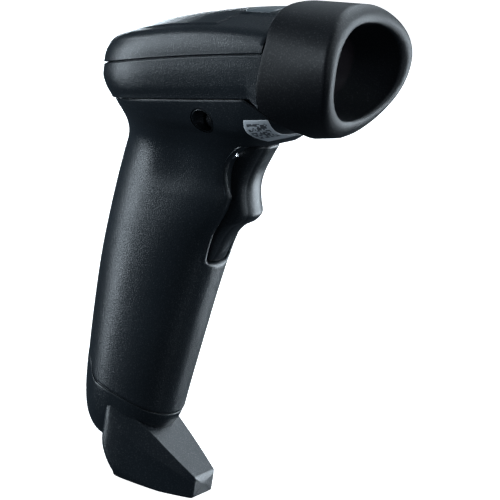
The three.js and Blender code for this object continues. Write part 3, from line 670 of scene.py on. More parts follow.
def set_down(obj: Object, finish: Finish, body: str, slot: str, *nodes: str) -> None:
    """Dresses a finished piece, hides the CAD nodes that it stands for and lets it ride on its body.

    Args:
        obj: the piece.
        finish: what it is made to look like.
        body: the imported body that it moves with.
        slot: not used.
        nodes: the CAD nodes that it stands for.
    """
    finish.dress(obj)
    if nodes:
        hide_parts(*nodes)
    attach(obj, body)
    LOG.info("%s: %d faces, rides on %s", obj.name, len(obj.data.polygons), body)


@dataclass
class Grip:
    """The grip's sleeve with its flared top, trigger recess and side screw wells."""

    # rear x, rear z, front x, front z, half width, squareness behind and ahead, from the bottom up
    sections: Pairs = (
        (-50.9, 22, -17.7, 20, 13.7, 2.3, 2.3), (-51.8, 37, -16.1, 35, 14.8, 2.3, 2.3),
        (-52.4, 54, -13.7, 53, 15.5, 2.3, 2.3), (-52.4, 72, -11.2, 71, 15.9, 2.35, 2.35),
        (-51.7, 86, -8.2, 86, 15.8, 2.4, 2.4), (-50.7, 98, -2.4, 98, 15.6, 2.5, 2.5),
        (-49.5, 108, -0.2, 109, 15.8, 2.5, 2.5), (-48.2, 114.5, 2, 118, 17.0, 2.6, 2.6),
        (-48.3, 119, 8.6, 125.4, 19.8, 2.8, 3.2), (-49.7, 122.8, 15.3, 131.6, 23.3, 3.0, 4.8),
        (-51.549, 126.132, 17.826, 142.148, 25.9, 3.2, 6.0),
        (-53.91, 131.027, 18.582, 147.763, 26.5, 3.2, 6.0),
    )
    # the finger hollow's x, z, half length, half height and depth
    finger: tuple[float, ...] = (-15.0, 113.0, 13.0, 12.0, 2.0)
    cap_seam: Pairs = ((-70, 47.5), (-51, 40.2), (-45.6, 36.4), (-44.4, 33), (-42.6, 31), (-30, 28.4),
                       (-16, 24.3), (10, 17))
    ceiling: Pairs = ((-60, 50.7), (16.1, 50.7), (28.3, 38.8), (60, 38.8))
    recess: Pairs = ((3.4, 122.8), (-1.1, 121.2), (-5.2, 116.4), (-6.3, 111.5), (-5.4, 105.6),
                     (-3.9, 101.8), (-4.9, 98.4), (-8, 93.4), (-10, 88.2), (-9.8, 83.6), (-7.4, 79.2))
    slot_heights: tuple[float, float] = (79.0, 123.0)
    slot_back: float = -16.6
    slot_half: Pairs = ((79.6, 6.8), (95.0, 8.6))
    # how the slot opens: heights past its end, and how far the section there is the slot's
    threshold: Pairs = ((-1.1, 0.0), (-0.8, 0.012), (-0.5, 0.045), (-0.25, 0.11), (-0.08, 0.2), (0.0, 0.32))
    sill: Pairs = ((0.15, 0.5), (0.35, 0.68), (0.6, 0.84), (0.9, 0.95), (1.2, 1.0))
    doorway: Pairs = ((0.04, 0.94), (0.1, 0.98), (0.4, 1.0))
    # how far from the slot's ends the plain rows stop
    clear: float = 1.4
    cheek_round: float = 0.9
    rim: float = 0.5
    screw: tuple[float, float] = (-11.8, 128.4)
    well_radius: float = 3.5
    well_round: float = 0.6
    well_seat: float = 13.5
    # the label's upper and lower edges in the head frame: rear end and run, and its rear edge's bulge
    label_top: Pairs = ((13.6, 44.4), (7.6, 0.0))
    label_low: Pairs = ((15.4, 36.9), (6.4, 1.1))
    label_bulge: float = 1.3
    # share of the way up at which the search for a place on the flared top starts
    upper_share: float = 0.85
    side_columns: int = 72

    # columns on the slot's bottom, its corner, side, lip's inner edge, cheek, and cheek's outer edge
    PATH = (3, 4, 10, 5, 3, 7)

    def knots(self, t: Array) -> dict[str, Array]:
        """The section's rear and front points, half width, squareness and axes at shares t."""
        row = spline(self.sections, t)
        rear, front = row[..., 0:2], row[..., 2:4]
        span = front - rear
        length = np.linalg.norm(span, axis=-1)
        return {"front": front, "middle": (rear + front) / 2, "length": length,
                "unit": span / length[..., None], "half": row[..., 4],
                "behind": row[..., 5], "ahead": row[..., 6]}

    def outer(self, t: Array, angle: Array, lift: float = 0.0) -> Array:
        """The plain outer surface: a superellipse across the line from rear to front.

        Args:
            t: share of the way up.
            angle: direction round the section, 0 at the front, a half turn at the rear.
            lift: distance outwards.

        Returns:
            (..., 3) places.
        """
        k = self.knots(t)
        c, s = squircle(angle, np.where(np.cos(angle) > 0, k["ahead"], k["behind"]))
        d = (k["length"] / 2 + lift) * c
        x = k["middle"][..., 0] + k["unit"][..., 0] * d
        z = k["middle"][..., 1] + k["unit"][..., 1] * d
        y = (k["half"] + lift) * s
        return np.stack([x, y - self.hollow(x, y, z), z], -1)

    def hollow(self, x: Array, y: Array, z: Array) -> Array:
        """How far the finger hollow draws a side in towards the middle plane.

        A bell over the hollow's middle, with a steeper lower edge, only on the flat of the side.

        Args:
            x, y, z: places on the plain surface.

        Returns:
            Distances along Y, with the sign of Y.
        """
        at_x, at_z, long, high, deep = self.finger
        off_z = (z - at_z) / high
        off_z = np.where(off_z < 0, off_z * (1 + 0.5 * np.abs(off_z)), off_z)
        bell = np.exp(-((((x - at_x) / long) ** 2) ** 1.5) - np.abs(off_z) ** 3)
        return np.sign(y) * deep * bell * smooth_step((np.abs(y) - 6) / 7)

    def locate(self, x: Array, z: Array, guess: float) -> tuple[Array, Array]:
        """Finds the surface's shares for side-view places on its left side.

        Newton's rule on the two unknowns, with slopes from small steps.

        Args:
            x, z: side-view places.
            guess: share of the way up to start from.

        Returns:
            The shares t and the angles.
        """
        t, a = np.full_like(x, guess), np.full_like(x, math.pi / 2)
        step = 1e-4
        for _ in range(25):
            p = self.outer(t, a)
            dt = (self.outer(t + step, a) - p) / step
            da = (self.outer(t, a + step) - p) / step
            miss_x, miss_z = x - p[..., 0], z - p[..., 2]
            det = dt[..., 0] * da[..., 2] - dt[..., 2] * da[..., 0]
            t = t + np.clip((miss_x * da[..., 2] - miss_z * da[..., 0]) / det, -0.03, 0.03)
            a = a + np.clip((dt[..., 0] * miss_z - dt[..., 2] * miss_x) / det, -0.2, 0.2)
        return t, a

    def half_rings(self, t: Array, inset: Array, cut: Array) -> Array:
        """Half sections from the front middle round the left side to the rear middle.

        Outside the recess the front columns lie on the superellipse at equal steps of width. In
        it they follow the slot: across its bottom, out along its side, and over the rounded cheek.

        Args:
            t: (rows, columns) shares of the way up.
            inset: (rows, 1) distances inwards.
            cut: (rows, 1) how far the section is the slot's, from 0 to 1.

        Returns:
            (rows, columns, 3) places.
        """
        front_columns = sum(self.PATH) - 1
        k = self.knots(t)
        half, power, unit, middle = k["half"] - inset, k["ahead"], k["unit"], k["middle"]
        reach = k["length"] / 2 - inset
        recess_x = height_curve(self.recess)
        room = read(self.slot_half, k["front"][..., 1])
        level = k["front"][..., 1]
        for _ in range(4):
            edge = (recess_x(level) - middle[..., 0]) / unit[..., 0]
            level = middle[..., 1] + unit[..., 1] * edge
        widest = (1 - ((room + 2.2) / half) ** power) ** (1 / power)
        c_edge = np.clip((edge - self.cheek_round) / reach, 0.2, widest)
        s_edge = (1 - c_edge**power) ** (1 / power)
        column = np.arange(t.shape[1])
        share = np.clip((column - front_columns) / (t.shape[1] - 1 - front_columns), 0, 1)
        start = np.arctan2(s_edge, c_edge)
        angle = start + (math.pi - start) * share
        c, s = squircle(angle, np.where(angle < math.pi / 2, power, k["behind"]))
        d_side, y_side = reach * c, half * s
        y_front = np.clip(column / front_columns, 0, 1) * half * s_edge
        d_front = reach * (1 - (y_front / half) ** power) ** (1 / power)
        is_front = column <= front_columns
        d, y = np.where(is_front, d_front, d_side), np.where(is_front, y_front, y_side)
        path = self.slot_path(c_edge[:, 0], s_edge[:, 0], reach[:, 0], half[:, 0], power[:, 0],
                              room[:, 0], (self.slot_back - middle[:, 0, 0]) / unit[:, 0, 0])
        n = front_columns + 1
        d[:, :n] = d[:, :n] * (1 - cut) + path[..., 0] * cut
        y[:, :n] = y[:, :n] * (1 - cut) + path[..., 1] * cut
        x, z = middle[..., 0] + unit[..., 0] * d, middle[..., 1] + unit[..., 1] * d
        sunk = np.where(is_front, 0.0, self.hollow(x, y, z))
        return np.stack([x, y - sunk, z], -1)

    def slot_path(self, c: Array, s: Array, reach: Array, half: Array, power: Array,
                  room: Array, bottom: Array) -> Array:
        """The slot's half outline in depth and width, with its corners rounded.

        Args:
            c, s: where the cheek meets the outer surface, as shares of reach and half.
            reach, half, power: the section's half depth, half width and squareness.
            room: half width of the slot.
            bottom: depth of the slot's bottom.

        Returns:
            (rows, points, 2) depths and widths.
        """
        lip = c * reach + self.cheek_round
        outer = half * np.clip(1 - np.clip(lip / reach, 0, 1) ** power, 0.01, 1) ** (1 / power)
        outer = np.maximum(outer, room + 1.5)

        a, b, e, f, g, h = self.PATH
        return np.concatenate([
            stroke(pair(bottom, 0 * room), pair(bottom, room - 0.5), a),
            corner(pair(bottom, room - 0.5), pair(bottom, room), pair(bottom + 0.5, room), b),
            stroke(pair(bottom + 0.5, room), pair(lip - 0.6, room), e),
            corner(pair(lip - 0.6, room), pair(lip, room), pair(lip, room + 0.6), f),
            stroke(pair(lip, room + 0.6), pair(lip, outer - 0.6), g),
            corner(pair(lip, outer - 0.6), pair(lip, outer), pair(c * reach, s * half), h, closed=True),
        ], 1)

    def seam_share(self, low: float, high: float, miss: Callable[[Array], Array]) -> Array:
        """For each column, the share between low and high at which it crosses a seam, by halving."""
        columns = sum(self.PATH) + self.side_columns
        lo, hi = np.full((1, columns), low), np.full((1, columns), high)
        zero = np.zeros((1, 1))
        for _ in range(36):
            mid = (lo + hi) / 2
            past = miss(self.half_rings(mid, zero, zero)) > 0
            lo, hi = np.where(past, lo, mid), np.where(past, mid, hi)
        return lo

    def under_seam(self, p: Array) -> Array:
        """How far a place lies above the seam with the base cap."""
        return p[..., 2] - read(self.cap_seam, p[..., 0]) - GAP / 2

    def over_seam(self, p: Array) -> Array:
        """How far a place lies above the seam with the head."""
        head_x, head_z = to_head(p[..., 0], p[..., 2])
        return head_z - read(self.ceiling, head_x) + GAP / 2

    def rings(self) -> Array:
        """The sleeve's whole skin from its lower rim to its upper one, as rings."""
        shares = np.linspace(0, 1, 2000)
        fronts = self.knots(shares)["front"][..., 1]
        slot_low, slot_high = (float(np.interp(h, fronts, shares)) for h in self.slot_heights)
        per_mm = (slot_high - slot_low) / (self.slot_heights[1] - self.slot_heights[0])
        low = self.seam_share(0.0, 0.4, self.under_seam)
        high = self.seam_share(0.6, 1.0, self.over_seam)
        flat = np.ones_like(low)
        rows: list[tuple[Array, float, float]] = [(low, 3.0, 0.0)]
        insets, ways = roll(self.rim)
        rows += [(low + way * per_mm, inset, 0.0) for inset, way in zip(insets, ways)]
        start = low + self.rim * per_mm
        rows += [(start + (slot_low - self.clear * per_mm - start) * u, 0.0, 0.0)
                 for u in np.linspace(0.01, 1, 90)]
        rows += [(flat * (slot_low + way * per_mm), 0.0, cut) for way, cut in self.threshold + self.sill]
        rows += [(flat * t, 0.0, 1.0)
                 for t in np.linspace(slot_low + self.clear * per_mm, slot_high - 0.6 * per_mm, 84)]
        rows += [(flat * (slot_high - way * per_mm), 0.0, cut)
                 for way, cut in reversed(self.threshold + self.doorway)]
        start = slot_high + self.clear * per_mm
        stop = high - self.rim * per_mm
        rows += [(start + (stop - start) * u, 0.0, 0.0) for u in np.linspace(0, 0.99, 64)]
        rows += [(high - way * per_mm, inset, 0.0) for inset, way in zip(insets[::-1], ways[::-1])]
        foot, tip, closed = TONGUE_INSETS
        top = high + TONGUE * per_mm
        rows += [(high, foot, 0.0), (top, tip, 0.0), (top, closed, 0.0)]
        t = np.concatenate([row[0] for row in rows])
        inset = np.array([[row[1]] for row in rows])
        cut = np.array([[row[2]] for row in rows])
        return mirrored(self.half_rings(t, inset, cut))

    def well_cutter(self, side: int) -> Object:
        """The space of a screw well: a round bore whose mouth rolls out onto the curved side.

        Args:
            side: 1 for the left, -1 for the right.

        Returns:
            The cutting solid.
        """
        turn = full_turn(72)
        insets, ways = roll(self.well_round, 8)
        radii = self.well_radius + insets
        x = self.screw[0] + radii[:, None] * np.cos(turn)
        z = self.screw[1] + radii[:, None] * np.sin(turn)
        t, a = self.locate(x, z, self.upper_share)
        y = self.outer(t, a)[..., 1] - ways[::-1][:, None]
        mouth = np.stack([x, y, z], -1)[::-1]
        seat, top = mouth[:1].copy(), mouth[-1:].copy()
        seat[..., 1] = self.well_seat
        top[..., 1] += 6
        rings = np.concatenate([seat, mouth, top]) * np.array([1.0, side, 1.0])
        return ring_mesh("well_cutter", rings)

    def label(self) -> Object:
        """The rating label: a thin film on the right cheek under the hood, with its own UV map."""
        u, v = np.meshgrid(np.linspace(0, 1, 33), np.linspace(0, 1, 25))
        top, low = (np.array(rear) + u[..., None] * np.array(run)
                    for rear, run in (self.label_top, self.label_low))
        flat = top * (1 - v[..., None]) + low * v[..., None]
        flat[..., 0] -= (1 - u) * self.label_bulge * 4 * v * (1 - v)
        place = from_head(flat[..., 0], 0.0, flat[..., 1])
        t, a = self.locate(place[..., 0], place[..., 2], self.upper_share)
        points = self.outer(t, -a, 0.1).reshape(-1, 3)
        index = np.arange(u.size).reshape(u.shape)
        quads = np.stack([index[:-1, :-1], index[:-1, 1:], index[1:, 1:], index[1:, :-1]], -1)
        quads = quads.reshape(-1, 4)
        obj = new_mesh("rating_label_film", points, [quads])
        uv = obj.data.uv_layers.new(name="print")
        corners = np.empty(len(obj.data.loops), np.int32)
        obj.data.loops.foreach_get("vertex_index", corners)
        plane = np.stack([u.ravel(), 1 - v.ravel()], -1)[corners]
        uv.data.foreach_set("uv", plane.astype(np.float32).ravel())
        outwards = obj.data.polygons[0].normal.y < 0
        film = obj.modifiers.new("film", "SOLIDIFY")
        film.thickness, film.offset = 0.00022, 1.0 if outwards else -1.0
        return obj

    def build(self) -> None:
        """Makes the sleeve with its wells, and the label on it."""
        sleeve = ring_mesh("grip_sleeve", self.rings())
        for side in (1, -1):
            combine(sleeve, self.well_cutter(side), Cut.AWAY)
        set_down(sleeve, HOUSING, "casing", "housing", "handle_shell")
        set_down(self.label(), LABEL, "casing", "label", "rating_label")


@dataclass
class Head:
    """The head's middle housing, its top cover and the status lens in the cover."""

    side: Pairs = ((25.2, -41.0), (26.5, -42.5), (27.1, -43.4), (27.0, -42.9))
    cover_top: tuple[float, float] = (24.7, -39.4)
    lower_seam: float = 50.7
    upper_seam: float = 64.8
    centre: float = -5.0
    front_reach: float = 60.0
    power: float = 4.0
    # the seam with the hood, as height and X, both in the head frame
    hood_seam: Pairs = ((0.0, 19.4), (44.0, 19.4), (54.0, 19.6), (68.0, 23.4), (90.0, 23.4))
    plateau: Pairs = ((-40.0, 17.0), (-15.5, 20.5), (-4.8, 21.9), (3.6, 22.0), (7.4, 12.9), (30.0, 12.4))
    plateau_rise: float = 0.5
    # the roof's height, the X of its crown, and how it bends; the upper seam's bend
    crown: tuple[float, float, float] = (77.8, 8.0, 0.0031)
    seam_bend: float = 0.0007
    lens_span: tuple[float, float] = (7.8, 18.6)
    lens_half: float = 11.6
    columns: tuple[int, int, int] = (12, 46, 84)

    def seam_height(self, x: Array) -> Array:
        """The upper seam's height: it drops with the square of the distance behind its front."""
        return self.upper_seam - self.seam_bend * (x - 23) ** 2

    def seam_x(self, z: Array) -> Array:
        """The head-frame X of the seam with the hood at a height."""
        return read(self.hood_seam, z)

    def plan(self, half: Array, rear: Array, front: Array, inset: Array) -> tuple[Array, Array]:
        """Half plan outlines: across the front at the hood, back along the side, round the rear.

        Side and rear lie on a superellipse about the centre, longer ahead of it than behind.

        Args:
            half, rear, front: (rows, 1) half width, rearmost X and the X at which it is cut.
            inset: (rows, 1) distances inwards.

        Returns:
            (rows, columns) X and Y.
        """
        across, along, around = self.columns
        cut = (front - self.centre) / self.front_reach
        u = np.linspace(0, 1, along, endpoint=False)
        c_side = cut * (1 - u)
        s_side = (1 - c_side**self.power) ** (1 / self.power)
        c_rear, s_rear = squircle(np.linspace(math.pi / 2, math.pi, around), self.power)
        x_front = np.repeat(front, across, 1)
        y_front = (half - inset) * s_side[:, :1] * np.linspace(0, 1, across, endpoint=False)
        x_rear = self.centre + (self.centre - rear - inset) * c_rear
        x = np.concatenate([x_front, self.centre + self.front_reach * c_side, x_rear], 1)
        y = np.concatenate([y_front, (half - inset) * s_side, (half - inset) * s_rear], 1)
        return x, y

    def roof(self, x: Array, y: Array) -> Array:
        """The roof's height: a long crown, a fall to each side, and a low plateau with soft edges."""
        top, middle, bend = self.crown
        crown = top - bend * (x - middle) ** 2
        off = np.abs(y) - 10
        fall = (0.3 + 0.005 * x) * (off + np.sqrt(off**2 + 4)) / 2
        edge = read(self.plateau, x)
        ends = smooth_step((x + 30) / 14)
        return crown - fall + self.plateau_rise * ends * (smooth_step((edge - np.abs(y)) / 0.9) - 0.6)

    def housing(self) -> Object:
        """The middle housing: a closed band from the lower seam to the upper one."""
        insets, ways = roll(0.45)
        height = self.upper_seam - self.lower_seam
        bottom = self.lower_seam
        lip = 1 + TONGUE / height
        share = np.concatenate([[0], ways / height, np.linspace(0.05, 0.95, 30), 1 - ways[::-1] / height,
                                [1, lip, lip]])
        inset = np.concatenate([[3], insets, np.zeros(30), insets[::-1], [0.6, 0.7, 3]])[:, None]
        size = spline(self.side, share)
        front = self.seam_x(bottom + height * share)[:, None] - GAP / 2
        x, y = self.plan(size[:, :1], size[:, 1:], front, inset)
        low = read(Grip.ceiling, x) + GAP / 2
        z = low + (self.seam_height(x) - GAP / 2 - low) * share[:, None]
        return ring_mesh("head_band", mirrored(from_head(x, y, z)))

    def cover(self) -> Object:
        """The top cover: leaning side walls, a rounded shoulder, and the roof scaled to its middle."""
        half, rear = self.side[-1]
        one = np.ones((1, 1))
        base_front = self.seam_x(self.seam_height(23.0)) - GAP / 2
        top_front = self.seam_x(72.0) - GAP / 2
        px, py = self.plan(self.cover_top[0] * one, self.cover_top[1] * one, top_front * one, 0 * one)
        edge = self.roof(px, py)
        rows: list[Array] = []
        insets, ways = roll(0.4)

        def wall(up: Array | float, inset: float, way: float = 0.0) -> Array:
            """The wall at a share of its height, drawn in by an inset and raised by a distance."""
            x, y = self.plan((half + (self.cover_top[0] - half) * up) * one,
                             (rear + (self.cover_top[1] - rear) * up) * one,
                             (base_front + (top_front - base_front) * up) * one, inset * one)
            low = self.seam_height(x) + GAP / 2
            swell = 0.45 * math.sin(math.pi * min(up * 1.15, 1))
            out = np.where(x < top_front - 0.5, swell, 0) / 25
            return np.stack([self.centre + (x - self.centre) * (1 + out * (x < self.centre)),
                             y * (1 + out), low + (edge - low) * up + way], -1)[0]

        rows.append(wall(0.0, 3.0))
        rows += [wall(0.0, i, w) for i, w in zip(insets, ways)]
        rows += [wall(float(u), 0.0) for u in np.linspace(0.06, 0.74, 26)]
        start = wall(0.74, 0.0)
        keep = np.clip(1 - (top_front - px[0]) / 8, 0, 1)
        inner_x = self.centre + (px[0] - self.centre) * (0.9 + 0.1 * keep)
        inner_y = py[0] * 0.88
        top = np.stack([px[0], py[0], edge[0]], -1)
        end = np.stack([inner_x, inner_y, self.roof(inner_x, inner_y)], -1)
        rows += list(np.moveaxis(corner(start, top, end, 16), 1, 0)[1:])
        scale = np.linspace(1, 0.01, 64)[:, None]
        x, y = self.centre + (inner_x - self.centre) * scale, inner_y * scale
        half_rings = np.concatenate([np.stack(rows), np.stack([x, y, self.roof(x, y)], -1)])
        return ring_mesh("cover_shell", mirrored(from_head(*np.moveaxis(half_rings, -1, 0))), 40)

    def lens_block(self, margin: float, low: float, lift: float, edge: float) -> Array:
        """Rings of a rounded block that follows the roof over the lens's place.

        Args:
            margin: growth of its outline.
            low: depth of its foot below the roof.
            lift: height of its top above the roof.
            edge: rounding of its upper rim.

        Returns:
            (rows, columns, 3) drawing-frame places.
        """
        rear, front = self.lens_span
        c, s = squircle(full_turn(160), 9.0)
        insets, ways = roll(edge)
        inset = np.concatenate([[0], insets[::-1]])[:, None]
        rise = np.concatenate([[-low], lift - ways[::-1]])[:, None]
        x = (rear + front) / 2 + ((front - rear) / 2 + margin - inset) * c
        y = (self.lens_half + margin - inset) * s
        scale = np.linspace(0.96, 0.02, 14)[:, None]
        x = np.concatenate([x, (rear + front) / 2 + (x[-1:] - (rear + front) / 2) * scale])
        y = np.concatenate([y, y[-1:] * scale])
        rise = np.concatenate([rise, np.full((14, 1), lift)])
        return from_head(x, y, self.roof(x, y) + rise)

    def build(self) -> None:
        """Makes the housing, the cover with the lens's slot, and the lens."""
        set_down(self.housing(), HOUSING, "casing", "housing", "head_housing")
        cover = self.cover()
        cutter = ring_mesh("slot_cutter", self.lens_block(0.3, 1.6, 6.0, 0.1))
        combine(cover, cutter, Cut.AWAY, 40)
        set_down(cover, HOUSING, "casing", "housing", "top_cover")
        lens = ring_mesh("status_bar", self.lens_block(0.0, 1.5, 0.05, 0.35))
        set_down(lens, LENS, "casing", "lens", "status_lens")


@dataclass
class Hood:
    """The nose hood with its thick lip and funnel, and the scan window at the funnel's bottom."""

    middle: float = 59.8
    back: float = 12.0
    # the rear outline: half widths for its angles and for its shape, rise, drop, and squareness
    half: float = 27.9
    rear_half: float = 27.2
    rise: float = 20.2
    drop: float = 23.4
    power_above: float = 2.75
    power_below: float = 2.5
    crown: float = 65.0
    rim_reach: float = 47.2
    rim_bend: float = 0.0145
    # half the rim's front outline, from the bottom to the top, as y and z
    rim: Pairs = ((0, 36.7), (7, 37.4), (13.2, 39.4), (18.6, 42.4), (22.8, 45.8), (26.0, 49.6),
                  (28.2, 54.0), (29.3, 58.6), (29.1, 62.6), (27.3, 66.6), (24.0, 70.2), (19.8, 73.2),
                  (14.2, 75.9), (7.6, 77.7), (0, 78.3))
    lip: float = 7.0
    lip_depth: float = 2.3
    # how much narrower the lip is at the bottom
    lip_thinning: float = 2.0
    floor: float = 27.8
    lean: float = 0.22
    columns: int = 176

    def outline(self, turn: Array, share: Array, inset: Array) -> tuple[Array, Array]:
        """The section: a superellipse, rounder towards the rim, with its own rise and drop.

        Args:
            turn: direction angle, 0 at the left, a quarter turn at the top.
            share: of the way from the back to the rim.
            inset: distance inwards.

        Returns:
            Y and Z in the head frame.
        """
        above = np.sin(turn) > 0
        reach = np.where(above, self.rise, self.drop)
        c, s = squircle(turn, np.where(above, self.power_above, self.power_below))
        table = spline(self.rim, np.linspace(0, 1, 400))
        rim_reach = np.where(table[:, 1] > self.middle, self.rise, self.drop)
        angles = np.arctan2((table[:, 1] - self.middle) / rim_reach, table[:, 0] / self.half)
        side = np.arcsin(np.clip(np.sin(turn), -1, 1))
        rim_y = np.sign(c) * np.interp(side, angles, table[:, 0])
        rim_z = np.interp(side, angles, table[:, 1]) - self.middle
        w = np.clip((share - 0.2) / 0.8, 0, 1.2) ** 1.15
        y, z = self.rear_half * c * (1 - w) + rim_y * w, reach * s * (1 - w) + rim_z * w
        return y * (1 - inset / 27), self.middle + z * (1 - inset / 21)

    def rim_x(self, z: Array) -> Array:
        """The rim's X: a parabola that falls back above and below its crown."""
        return self.rim_reach - self.rim_bend * (z - self.crown) ** 2

    def seam_x(self, z: Array) -> Array:
        """The X of the hood's rear edge: behind the head above, along the grip's diagonal below."""
        (rear_x, rear_z), (front_x, front_z) = Grip.ceiling[1:3]
        diagonal = np.interp(z, (front_z, rear_z), (front_x, rear_x))
        return np.maximum(Head().seam_x(z), np.where(z < rear_z, diagonal, 0)) + GAP / 2

    def skin(self, turn: Array, share: Array, inset: Array) -> Array:
        """(..., 3) head-frame places: the outline carried from the back to the rim."""
        y, z = self.outline(turn, share, inset)
        x = self.back + (self.rim_x(z) - self.back) * share
        return np.stack(np.broadcast_arrays(x, y, z), -1)

    def rings(self) -> Array:
        """The hood's whole skin: back wall, rolled rear edge, outside, lip, funnel and floor."""
        turn = full_turn(self.columns)[None]
        start = np.full_like(turn, 0.3)
        for _ in range(20):
            _, z = self.outline(turn, start, 0.0)
            start = (self.seam_x(z) - self.back) / (self.rim_x(z) - self.back)
        length = self.rim_reach - self.back
        insets, ways = roll(0.4)
        tongue = start - TONGUE / length
        foot, tip, closed = TONGUE_INSETS
        rows = [self.skin(turn, tongue, closed), self.skin(turn, tongue, tip), self.skin(turn, start, foot)]
        rows += [self.skin(turn, start + way / length, inset) for inset, way in zip(insets, ways)]
        lip_start = 1 - self.lip_depth / length
        lip = self.lip - self.lip_thinning * smooth_step(0.3 - 1.2 * np.sin(turn))
        rows += [self.skin(turn, start + 0.4 / length + (lip_start - start - 0.4 / length) * u, 0.0)
                 for u in np.linspace(0.03, 0.98, 44)]
        for a in np.linspace(0, math.pi, 26):
            share = 1 - self.lip_depth / length * (1 - math.sin(a) ** 0.8)
            rows.append(self.skin(turn, share, lip / 2 * (1 - math.cos(a))))
        mouth = rows[-1]
        for u in np.linspace(0.03, 1, 30):
            y, z = self.outline(turn, lip_start, lip + (self.lip + 3.0 - lip) * u**1.3)
            floor = self.floor + self.lean * (z - self.middle)
            rows.append(np.stack([mouth[..., 0] + (floor - mouth[..., 0]) * u, y, z], -1))
        y, z = self.outline(turn, lip_start, 13.0)
        rows.append(np.stack([self.floor + self.lean * (z - self.middle), y, z], -1))
        return np.moveaxis(np.concatenate(rows), -1, 0)

    def window(self) -> Array:
        """The scan window: a plate across the funnel's bottom with a softened rim."""
        turn = full_turn(self.columns)[None]
        rows = []
        for lift, inset in ((0.9, 9.5), (1.0, 9.35), (2.0, 9.35), (2.2, 9.45), (2.3, 9.7), (2.3, 13.0)):
            y, z = self.outline(turn, 0.9, inset)
            rows.append(np.stack([self.floor + lift + self.lean * (z - self.middle), y, z], -1))
        return np.moveaxis(np.concatenate(rows), -1, 0)

    def build(self) -> None:
        """Makes the hood and the window."""
        hood = ring_mesh("hood_shell", from_head(*self.rings()))
        set_down(hood, HOOD, "casing", "hood", "nose_hood")
        window = ring_mesh("window_plate", from_head(*self.window()))
        set_down(window, WINDOW, "casing", "window", "scan_window")


